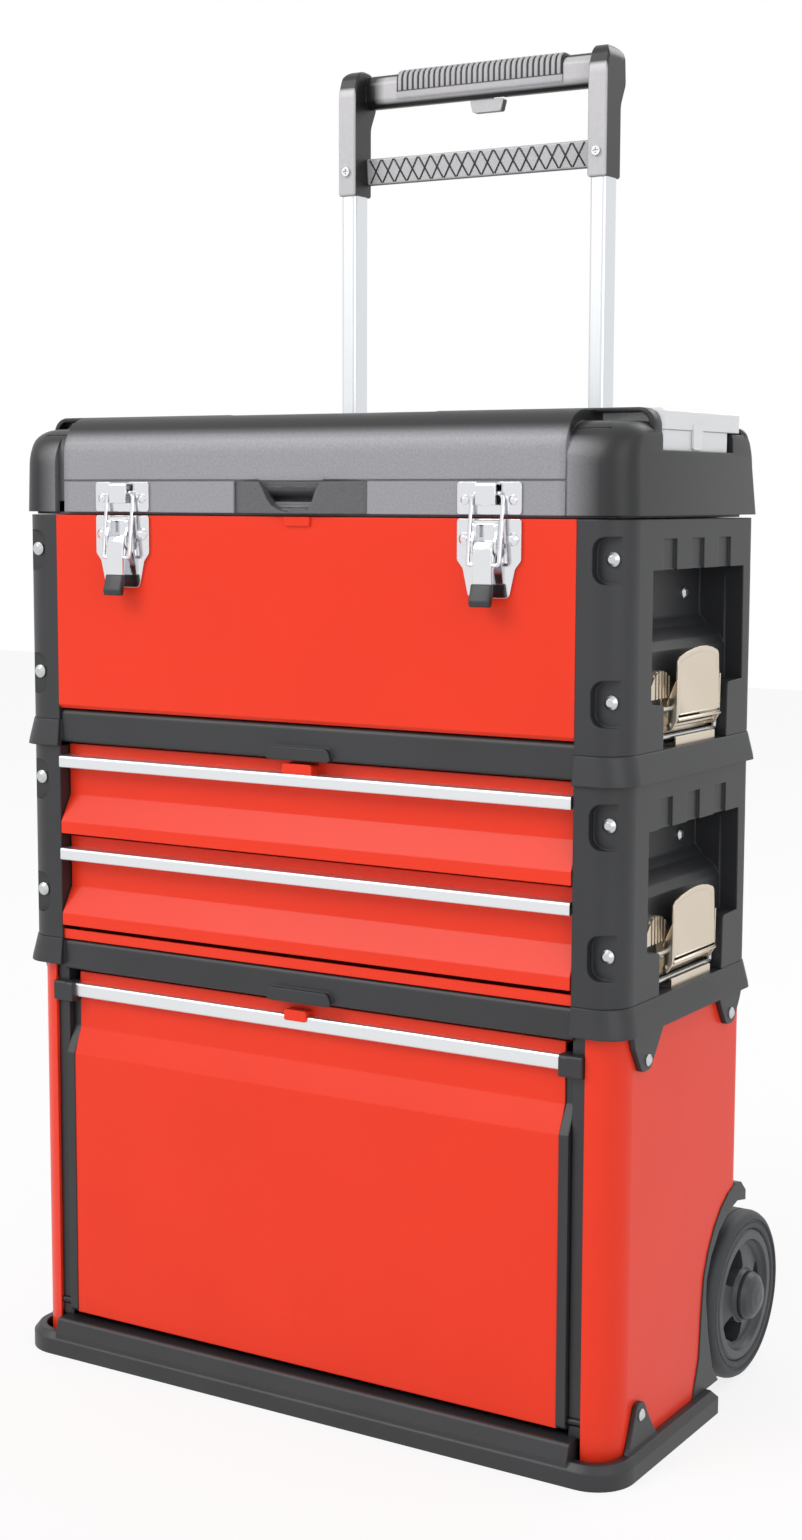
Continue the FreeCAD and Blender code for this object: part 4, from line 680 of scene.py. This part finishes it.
def makeGripPad():
    pad = gripPad
    half = pad["half"]
    body = drawBlock("softGripPad", alongX(pad["section"], -half), (2.0 * half, 0.0, 0.0))
    roundEdges(body, pad["round"])
    first = -0.5 * pad["pitch"] * (pad["count"] - 1) - 0.5 * pad["ribWidth"]
    ribs = drawBlock("softGripRibs", alongX(pad["ribSection"], first), (pad["ribWidth"], 0.0, 0.0))
    roundEdges(ribs, pad["ribRound"])
    applyModifier(ribs, "ribRow", "ARRAY", {"count": pad["count"], "use_relative_offset": False,
                  "use_constant_offset": True, "constant_offset_displace": (pad["pitch"], 0.0, 0.0)})
    # pad and ribs wear the painted sheen
    wear(body, "sheenPaintedPad", "pull_handle", "grip_rubber", "grip_insert")
    wear(ribs, "sheenPaintedRibs", "pull_handle", "grip_rubber", "grip_insert")


makeGripPad()
print("stage: grip")


# Crossed ridges over the front of the handle's lower bar
crossHatch = {
    "half": 0.1010,
    "low": 0.9190,
    "high": 0.9368,
    "lean": 0.0105,
    "frontLow": 0.1430,
    "frontHigh": 0.1413,
    "ridge": 0.0015,
    "rise": 0.0005,
    "sink": 0.0003,
    "round": 0.0002,
    "pitch": 0.0114,
}


def makeCrossHatch():
    hatch = crossHatch
    slant = hatch["lean"]
    ridge = hatch["ridge"]
    sink = hatch["sink"]
    lower = hatch["frontLow"] + sink
    upper = hatch["frontHigh"] + sink
    count = int((2.0 * hatch["half"] - slant) / hatch["pitch"]) + 1
    rows = []
    for name, lean in (("hatchUp", slant), ("hatchDown", -slant)):
        start = -hatch["half"] + (0.0 if lean > 0.0 else slant)
        points = [(start, lower, hatch["low"]), (start + ridge, lower, hatch["low"]),
                  (start + ridge + lean, upper, hatch["high"]), (start + lean, upper, hatch["high"])]
        row = drawBlock(name, points, (0.0, -hatch["rise"] - sink, 0.0))
        roundEdges(row, hatch["round"])
        applyModifier(row, "ridgeRow", "ARRAY", {"count": count, "use_relative_offset": False,
                      "use_constant_offset": True, "constant_offset_displace": (hatch["pitch"], 0.0, 0.0)})
        rows.append(row)
    body = joinPieces(*rows)
    body.name = "crossBarHatch"
    wear(body, "pebbledAbs", "pull_handle", "black_moulding")


makeCrossHatch()
print("stage: cross hatch")


# Lid: moulded shell with a softly rounded front, end blocks, pits for the organisers and a finger scoop
lidShape = {
    "bottom": 0.6570,
    "top": 0.7270,
    "half": 0.2568,
    "endHalf": 0.2556,
    "front": -0.1102,
    "frontCorner": 0.0200,
    "rearCorner": 0.0090,
    "rearSlope": [(0.6570, 0.1050), (0.6820, 0.1010), (0.6990, 0.0982), (0.7070, 0.0945), (0.7110, 0.0914),
                  (0.7140, 0.0885), (0.7175, 0.0850), (0.7205, 0.0813), (0.7230, 0.0780), (0.7250, 0.0745),
                  (0.7264, 0.0705), (0.7270, 0.0660)],
    "bodyHalf": 0.2110,
    "frontRound": (0.0260, 0.0290),
    "endTop": 0.7190,
    "endRound": 0.0110,
    "roundSteps": 12,
    "wall": 0.0030,
    "lipOverhang": 0.0003,
    "frontStart": 0.6815,
    "grooveLeft": (-0.2200, -0.2110, 0.0050),
    "grooveRight": (0.2110, 0.2124, 0.0008),
    "grooveBack": -0.0700,
    "grooveFront": -0.1200,
    "grooveLow": 0.6560,
    "grooveHigh": 0.7350,
    "cutBelow": 0.0100,
    "cutAbove": 0.7400,
    "cutSide": 0.2650,
    "sideWall": 0.0065,
    "cavity": (-0.1045, 0.0960, 0.0160, 0.0060),
    "frontHollow": (-0.2380, 0.2380, -0.0990, -0.0610, 0.6900, 0.7140),
    "pitInner": 0.0910,
    "pitHalf": 0.0575,
    "pitFloor": 0.7000,
    "rearPit": (0.0760, 0.7130),
    "handlePit": (0.0860, -0.0270, 0.0460, 0.7070),
    "seam": (-0.1150, -0.1088, 0.6794, 0.6808),
    "seamGap": (-0.0335, 0.0215),
    "knuckleRoom": (-0.1815, 0.1840, 0.0975, 0.1100),
    "knuckleRoomTop": 0.6679,
    "rimTop": 0.7280,
    "rimRound": 0.0120,
    "rimDepth": 0.0115,
    "rimInset": 0.0006,
    "rimSide": 0.0042,
    "rimRoof": 0.0032,
    "rimUnder": [(0.1200, 0.7246), (0.1100, 0.7100)],
    "rimFoot": 0.6990,
    "rimSeat": 0.7100,
    "rimEdge": 0.0008,
    "rearBlock": [(0.0600, 0.6990), (0.0600, 0.7130), (0.0760, 0.7130), (0.0760, 0.7180), (0.0820, 0.7178)],
    "rearBlockBend": ((0.0800, 0.7040), (0.0130, 0.0140)),
    "rearBlockFoot": [(0.0965, 0.6970), (0.0970, 0.6900), (0.0900, 0.6900)],
    "rearBlockRound": 0.0060,
    "lip": [(-0.0550, -0.1085), (-0.0400, -0.1110), (-0.0200, -0.1132), (0.0, -0.1140), (0.0200, -0.1132),
            (0.0420, -0.1110), (0.0580, -0.1085), (0.0580, -0.1020), (-0.0550, -0.1020)],
    "lipTop": 0.6792,
    "lipRoom": (-0.0550, 0.0580, -0.1150, -0.1080),
    "lipRoomTop": 0.6800,
    "backing": (-0.0420, 0.0420, -0.1060, -0.0970),
    "backingTop": 0.6860,
    "opening": (0.2430, -0.1030, 0.0940, 0.0050, 0.0020),
    "openingLevels": (0.6540, 0.6660),
    "innerRim": (0.2460, -0.1052, 0.0970, 0.0080, 0.0040),
    "innerRimLevels": (0.6552, 0.6650),
    "ledge": (0.2510, -0.1050, 0.0965, 0.0180, 0.0080),
    "ledgeLevels": (0.6630, 0.6650),
    "hinge": (0.0, 0.1030, 0.6593),
    "knuckles": (-0.0900, 0.0900),
    "knuckleHalf": 0.0296,
    "knuckleBore": 0.0020,
    "knuckleRadius": 0.0040,
    "knuckleSteps": 24,
    "knuckleWeb": (0.1000, 0.1048, 0.6612, 0.6690),
}

# Finger scoop: an S-curved mouth, and a hollow that runs deeper towards the lower edge
scoop = {
    "mouth": [(-0.0390, 0.6835), (-0.0330, 0.6800), (-0.0290, 0.6745), (-0.0255, 0.6680), (-0.0205, 0.6625),
              (-0.0140, 0.6592), (-0.0070, 0.6578), (0.0060, 0.6578), (0.0110, 0.6600), (0.0140, 0.6650),
              (0.0165, 0.6720), (0.0205, 0.6785), (0.0270, 0.6835)],
    "mouthDepth": (-0.1250, -0.0990),
    "hollow": [(-0.1240, 0.6840), (-0.1104, 0.6840), (-0.1100, 0.6810), (-0.1088, 0.6775), (-0.1066, 0.6742),
               (-0.1042, 0.6712), (-0.1026, 0.6680), (-0.1028, 0.6650), (-0.1046, 0.6622), (-0.1074, 0.6602),
               (-0.1090, 0.6585), (-0.1090, 0.6560), (-0.1240, 0.6560)],
    "hollowHalf": 0.0500,
}


def arcPoints(centre, radii, start, end, steps):
    # corner points along part of an ellipse, in the plane of the two numbers
    points = []
    for step in range(steps + 1):
        angle = math.radians(start + (end - start) * step / steps)
        points.append((centre[0] + radii[0] * math.cos(angle), centre[1] + radii[1] * math.sin(angle)))
    return points


def roundedPlan(half, front, rear, frontRadius, rearRadius):
    points = arcPoints((half - frontRadius, front + frontRadius), (frontRadius, frontRadius), -90.0, 0.0, 8)
    points += arcPoints((half - rearRadius, rear - rearRadius), (rearRadius, rearRadius), 0.0, 90.0, 5)
    return points + [(-x, y) for x, y in reversed(points)]


def snapPoints(piece):
    # corners meant for one plane lie on it to the last digit: without this the booleans fail in some runs
    for vertex in piece.data.vertices:
        vertex.co = [round(value, 6) for value in vertex.co]
    return piece


def blockUp(name, plan, low, high):
    return snapPoints(drawBlock(name, [(x, y, low) for x, y in plan], (0.0, 0.0, high - low)))


def blockAcross(name, path, low, high):
    return snapPoints(drawBlock(name, alongX(path, low), (high - low, 0.0, 0.0)))


def blockBack(name, path, low, high):
    return snapPoints(drawBlock(name, [(x, low, z) for x, z in path], (0.0, high - low, 0.0)))


def plainBlock(name, x0, x1, y0, y1, z0, z1):
    return blockUp(name, [(x0, y0), (x1, y0), (x1, y1), (x0, y1)], z0, z1)


def combine(piece, operation, others):
    for other in others:
        applyModifier(piece, "shaping", "BOOLEAN",
                      {"operation": operation, "object": other, "solver": "EXACT"})
        bpy.data.objects.remove(other)
    return piece


def bothEnds(piece):
    return [piece, copyPiece(piece, piece.name + "_left", mirrored=True)]


def lidProfile(top):
    # the side view of the body between the grooves: front, round over, top and sloping rear
    shape = lidShape
    ry, rz = shape["frontRound"]
    front = shape["front"]
    path = [(front - shape["lipOverhang"], shape["bottom"]), (front, shape["frontStart"])]
    path += arcPoints((front + ry, top - rz), (ry, rz), 180.0, 90.0, 14)
    return path + [(y, z) for z, y in reversed(shape["rearSlope"]) if z <= top]


def lidRear(height):
    # where the sloping rear stands at this height
    slope = lidShape["rearSlope"]
    for (z0, y0), (z1, y1) in zip(slope, slope[1:]):
        if z0 <= height <= z1:
            return y0 + (y1 - y0) * (height - z0) / (z1 - z0)
    return slope[-1][1]


def lidLevels():
    # height, half width, front and rear of each outline, so that front, sides and back round over together
    shape = lidShape
    ry, rz = shape["frontRound"]
    side = shape["endRound"]
    start = shape["endTop"] - rz
    front = shape["front"]
    levels = [(shape["bottom"], shape["half"], front - shape["lipOverhang"], lidRear(shape["bottom"]))]
    for step in range(shape["roundSteps"] + 1):
        turn = math.radians(90.0 * step / shape["roundSteps"])
        z = start + rz * math.sin(turn)
        part = max(0.0, (z - shape["endTop"] + side) / side)
        shrink = side * (1.0 - math.sqrt(max(0.0, 1.0 - part * part)))
        inset = ry * (1.0 - math.cos(turn))
        levels.append((z, shape["endHalf"] - shrink, front + inset, lidRear(z)))
    return levels


def makeLidOutside():
    shape = lidShape
    levels = lidLevels()
    low, half, front, rear = levels[0]
    plan = roundedPlan(half, front, rear, shape["frontCorner"], shape["rearCorner"])
    ends = drawLine("lidEnds", [(x, y, low) for x, y in plan])
    editAll(ends)
    bpy.ops.mesh.edge_face_add()
    bpy.ops.mesh.select_mode(type="FACE")
    bpy.ops.mesh.select_all(action="SELECT")
    for z, nextHalf, nextFront, nextRear in levels[1:]:
        bpy.ops.mesh.extrude_region_move(TRANSFORM_OT_translate={"value": (0.0, 0.0, z - low)})
        shrink = (nextRear - nextFront) / (rear - front)
        middle = (nextFront - shrink * front) / (1.0 - shrink) if shrink < 0.999999 else 0.0
        bpy.ops.transform.resize(value=(nextHalf / half, shrink, 1.0), center_override=(0.0, middle, 0.0))
        low, half, front, rear = z, nextHalf, nextFront, nextRear
    bpy.ops.mesh.select_all(action="SELECT")
    bpy.ops.mesh.normals_make_consistent(inside=False)
    endEdit()
    snapPoints(ends)
    middle = blockAcross("lidMiddle", lidProfile(shape["top"]), -shape["bodyHalf"], shape["bodyHalf"])
    return combine(ends, "UNION", [middle])


def makeLidRim():
    # loops over the organiser's corner
    shape = lidShape
    inner = shape["pitInner"] - shape["wall"]
    outer = shape["endHalf"] - shape["rimInset"]
    bend = shape["rimRound"]
    side = shape["rimSide"]
    top = shape["rimTop"]
    foot = shape["rimFoot"]
    middle = (outer - bend, top - bend)
    path = [(inner, shape["rimSeat"]), (inner, top)] + arcPoints(middle, (bend, bend), 90.0, 0.0, 8)
    path += [(outer, foot), (outer - side, foot)]
    path += arcPoints(middle, (bend - side, bend - shape["rimRoof"]), 0.0, 90.0, 8)
    path += [(inner + x, z) for x, z in shape["rimUnder"]]
    front = -shape["pitHalf"]
    rim = blockBack("lidRim", path, front - shape["rimDepth"], front)
    roundEdges(rim, shape["rimEdge"])
    return rim


def makeLidRearBlock():
    # closes the organiser's pit at the back
    shape = lidShape
    inner = shape["pitInner"] - shape["wall"]
    outer = shape["endHalf"] - shape["rimInset"]
    centre, radii = shape["rearBlockBend"]
    rear = shape["rearBlock"] + arcPoints(centre, radii, 75.0, 10.0, 6) + shape["rearBlockFoot"]
    block = blockAcross("lidRearBlock", rear, inner, outer)
    pickFaces(block, lambda place, normal: normal.x > 0.9)
    bpy.ops.mesh.region_to_loop()
    bpy.ops.mesh.bevel(offset=shape["rearBlockRound"], segments=5, affect="EDGES")
    endEdit()
    return block


def makeLidCuts():
    # cavity, hollow behind the front, pits for the organisers and the handle, front seams, room for the hinge
    shape = lidShape
    low = shape["bottom"] - shape["cutBelow"]
    high = shape["cutAbove"]
    inner = shape["pitInner"]
    outer = shape["cutSide"]
    pitHalf = shape["pitHalf"]
    cavity = blockUp("lidCavity", roundedPlan(shape["half"] - shape["sideWall"], *shape["cavity"]), low,
                     shape["pitFloor"] - shape["wall"])
    frontHollow = plainBlock("lidFrontHollow", *shape["frontHollow"])
    pit = plainBlock("lidPit", inner, outer, -pitHalf, pitHalf, shape["pitFloor"], high)
    rear, floor = shape["rearPit"]
    rearPit = plainBlock("lidRearPit", inner, outer, -pitHalf, rear, floor, high)
    half, front, back, floor = shape["handlePit"]
    handle = plainBlock("lidHandlePit", -half, half, front, back, floor, high)
    body = shape["bodyHalf"]
    gapLeft, gapRight = shape["seamGap"]
    seams = [plainBlock("lidSeam", x0, x1, *shape["seam"]) for x0, x1 in ((-body, gapLeft), (gapRight, body))]
    knuckles = plainBlock("lidKnuckleRoom", *shape["knuckleRoom"], low, shape["knuckleRoomTop"])
    return [cavity, frontHollow, handle, knuckles] + seams + bothEnds(pit) + bothEnds(rearPit)


def makeLidGroove(name, low, high, depth):
    # a slot that follows the rounded front up and over
    shape = lidShape
    ry, rz = shape["frontRound"]
    front = shape["front"]
    top = shape["top"]
    path = [(front + depth, shape["grooveLow"])]
    path += arcPoints((front + ry, top - rz), (ry - depth, rz - depth), 180.0, 100.0, 12)
    path += [(shape["grooveBack"], top - depth), (shape["grooveBack"], shape["grooveHigh"]),
             (shape["grooveFront"], shape["grooveHigh"]), (shape["grooveFront"], shape["grooveLow"])]
    return blockAcross(name, path, low, high)


def makeScoop():
    mouth = blockBack("scoopMouth", scoop["mouth"], *scoop["mouthDepth"])
    half = scoop["hollowHalf"]
    return combine(mouth, "INTERSECT", [blockAcross("scoopHollow", scoop["hollow"], -half, half)])


def makeLidRing(name, plan, levels):
    # a low wall inside the lid around the opening of the box
    ring = blockUp(name, roundedPlan(*plan), *levels)
    bore = blockUp(name + "Bore", roundedPlan(*lidShape["opening"]), *lidShape["openingLevels"])
    return combine(ring, "DIFFERENCE", [bore])


def makeLidKnuckle(x):
    shape = lidShape
    low = x - shape["knuckleHalf"]
    high = x + shape["knuckleHalf"]
    bore = shape["knuckleBore"]
    radius = shape["knuckleRadius"]
    barrel = spinLine("lidKnuckle", [(bore, low), (radius, low), (radius, high), (bore, high)],
                      shape["hinge"], shape["knuckleSteps"])
    return [barrel, plainBlock("lidKnuckleWeb", low, high, *shape["knuckleWeb"])]


def makeLid():
    shape = lidShape
    bottom = shape["bottom"]
    lid = makeLidOutside()
    lip = blockUp("lidLip", shape["lip"], bottom, shape["lipTop"])
    combine(lip, "DIFFERENCE", [makeScoop()])
    lipRoom = plainBlock("lidLipRoom", *shape["lipRoom"], bottom - shape["cutBelow"], shape["lipRoomTop"])
    backing = plainBlock("lidBacking", *shape["backing"], bottom, shape["backingTop"])
    grooves = [makeLidGroove("lidGrooveLeft", *shape["grooveLeft"]),
               makeLidGroove("lidGrooveRight", *shape["grooveRight"])]
    combine(lid, "DIFFERENCE", makeLidCuts() + [lipRoom] + grooves)
    combine(lid, "UNION", bothEnds(makeLidRim()) + [backing])
    combine(lid, "DIFFERENCE", [makeScoop()])
    # the rear blocks' rounded ends cross themselves, which a boolean can't take, so they are joined too
    extras = bothEnds(makeLidRearBlock())
    extras += [makeLidRing("lidInnerRim", shape["innerRim"], shape["innerRimLevels"]),
               makeLidRing("lidLedge", shape["ledge"], shape["ledgeLevels"])]
    for x in shape["knuckles"]:
        extras += makeLidKnuckle(x)
    lid = joinPieces(lid, *extras)
    lid.name = "mouldedLid"
    # lid and lip wear the painted sheen
    wear(lid, "sheenPaintedLid", "lid", "black_moulding", "lid_shell")
    wear(lip, "sheenPaintedPlate", "lid", "black_moulding", "lid_shell")


makeLid()
print("stage: lid")


# Stage: pale floor and backdrop, camera at the photograph's angle, soft studio lamps
studio = {
    "floorColour": "F4F5F6",
    "floorSize": 12.0,
    "cameraPlace": (0.8985, -1.4278, 0.6693),
    "cameraYaw": 31.664,
    "cameraPitch": -6.914,
    "cameraRoll": 0.18,
    "focalPixels": 2258.1,
    "imageHeight": 1540.0,
    "sensorWidth": 36.0,
    "worldStrength": 0.66,
    "floorGlow": 0.82,
}
lamps = [
    {"name": "keyLamp", "place": (-1.6, -2.4, 2.6), "aim": (0.0, 0.0, 0.45), "size": 1.8, "power": 56.0},
    {"name": "fillLamp", "place": (2.6, -1.6, 1.6), "aim": (0.0, 0.0, 0.45), "size": 2.2, "power": 20.0},
    {"name": "rearLamp", "place": (0.6, 2.4, 2.6), "aim": (0.0, 0.1, 0.6), "size": 1.6, "power": 22.0},
]


def seenRays(tree):
    # 1 for what the camera sees directly, in a mirror or through something clear
    rays = addNode(tree, "ShaderNodeLightPath")
    seen = addNode(tree, "ShaderNodeMath", {"operation": "MAXIMUM"}, None,
                   {0: rays.outputs["Is Camera Ray"], 1: rays.outputs["Is Glossy Ray"]})
    return addNode(tree, "ShaderNodeMath", {"operation": "MAXIMUM"}, None,
                   {0: seen.outputs[0], 1: rays.outputs["Is Transmission Ray"]}).outputs[0]


def makeFloor():
    bpy.ops.object.select_all(action="DESELECT")
    bpy.ops.mesh.primitive_plane_add(size=studio["floorSize"], location=(0.0, 0.0, 0.0))
    floor = bpy.context.active_object
    floor.name = "studioFloor"
    material, tree, shader, place = startMaterial("paleFloor")
    cloud = addNode(tree, "ShaderNodeTexNoise", None, {"Scale": 3.0}, {"Vector": place})
    spread = addNode(tree, "ShaderNodeMapRange", None, {"To Min": 0.65, "To Max": 0.8},
                     {"Value": cloud.outputs["Fac"]})
    tree.links.new(spread.outputs["Result"], shader.inputs["Roughness"])
    shader.inputs["Base Color"].default_value = hexColour(studio["floorColour"])
    glow = addNode(tree, "ShaderNodeEmission", None, {"Color": (1.0, 1.0, 1.0, 1.0), "Strength": 1.0})
    share = addNode(tree, "ShaderNodeMath", {"operation": "MULTIPLY"}, {1: studio["floorGlow"]},
                    {0: seenRays(tree)})
    blend = addNode(tree, "ShaderNodeMixShader", None, None,
                    {0: share.outputs[0], 1: shader.outputs["BSDF"], 2: glow.outputs["Emission"]})
    tree.links.new(blend.outputs["Shader"], tree.nodes["Material Output"].inputs["Surface"])
    floor.data.materials.append(material)


def makeWorld():
    world = bpy.data.worlds.new("softStudio")
    bpy.context.scene.world = world
    world.use_nodes = True
    tree = world.node_tree
    tree.nodes.clear()
    strength = addNode(tree, "ShaderNodeMapRange", None,
                       {"To Min": studio["worldStrength"], "To Max": 1.0}, {"Value": seenRays(tree)})
    background = addNode(tree, "ShaderNodeBackground", None, {"Color": (1.0, 1.0, 1.0, 1.0)},
                         {"Strength": strength.outputs["Result"]})
    addNode(tree, "ShaderNodeOutputWorld", None, None, {"Surface": background.outputs["Background"]})


def makeLamps():
    for lamp in lamps:
        light = bpy.data.lights.new(lamp["name"], "AREA")
        light.size = lamp["size"]
        light.energy = lamp["power"]
        holder = bpy.data.objects.new(lamp["name"], light)
        bpy.context.collection.objects.link(holder)
        holder.location = lamp["place"]
        way = Vector(lamp["aim"]) - Vector(lamp["place"])
        holder.rotation_euler = way.to_track_quat("-Z", "Y").to_euler()


def makeCamera():
    lens = bpy.data.cameras.new("photoCamera")
    lens.sensor_fit = "AUTO"
    lens.sensor_width = studio["sensorWidth"]
    lens.lens = studio["focalPixels"] / studio["imageHeight"] * studio["sensorWidth"]
    camera = bpy.data.objects.new("photoCamera", lens)
    bpy.context.collection.objects.link(camera)
    turn = (Matrix.Rotation(math.radians(studio["cameraYaw"]), 4, "Z")
            @ Matrix.Rotation(math.radians(90.0 + studio["cameraPitch"]), 4, "X")
            @ Matrix.Rotation(math.radians(studio["cameraRoll"]), 4, "Z"))
    camera.matrix_world = Matrix.Translation(Vector(studio["cameraPlace"])) @ turn
    bpy.context.scene.camera = camera


makeFloor()
makeWorld()
makeLamps()
makeCamera()
bpy.context.scene.view_settings.view_transform = "Standard"
print("stage: studio ready")
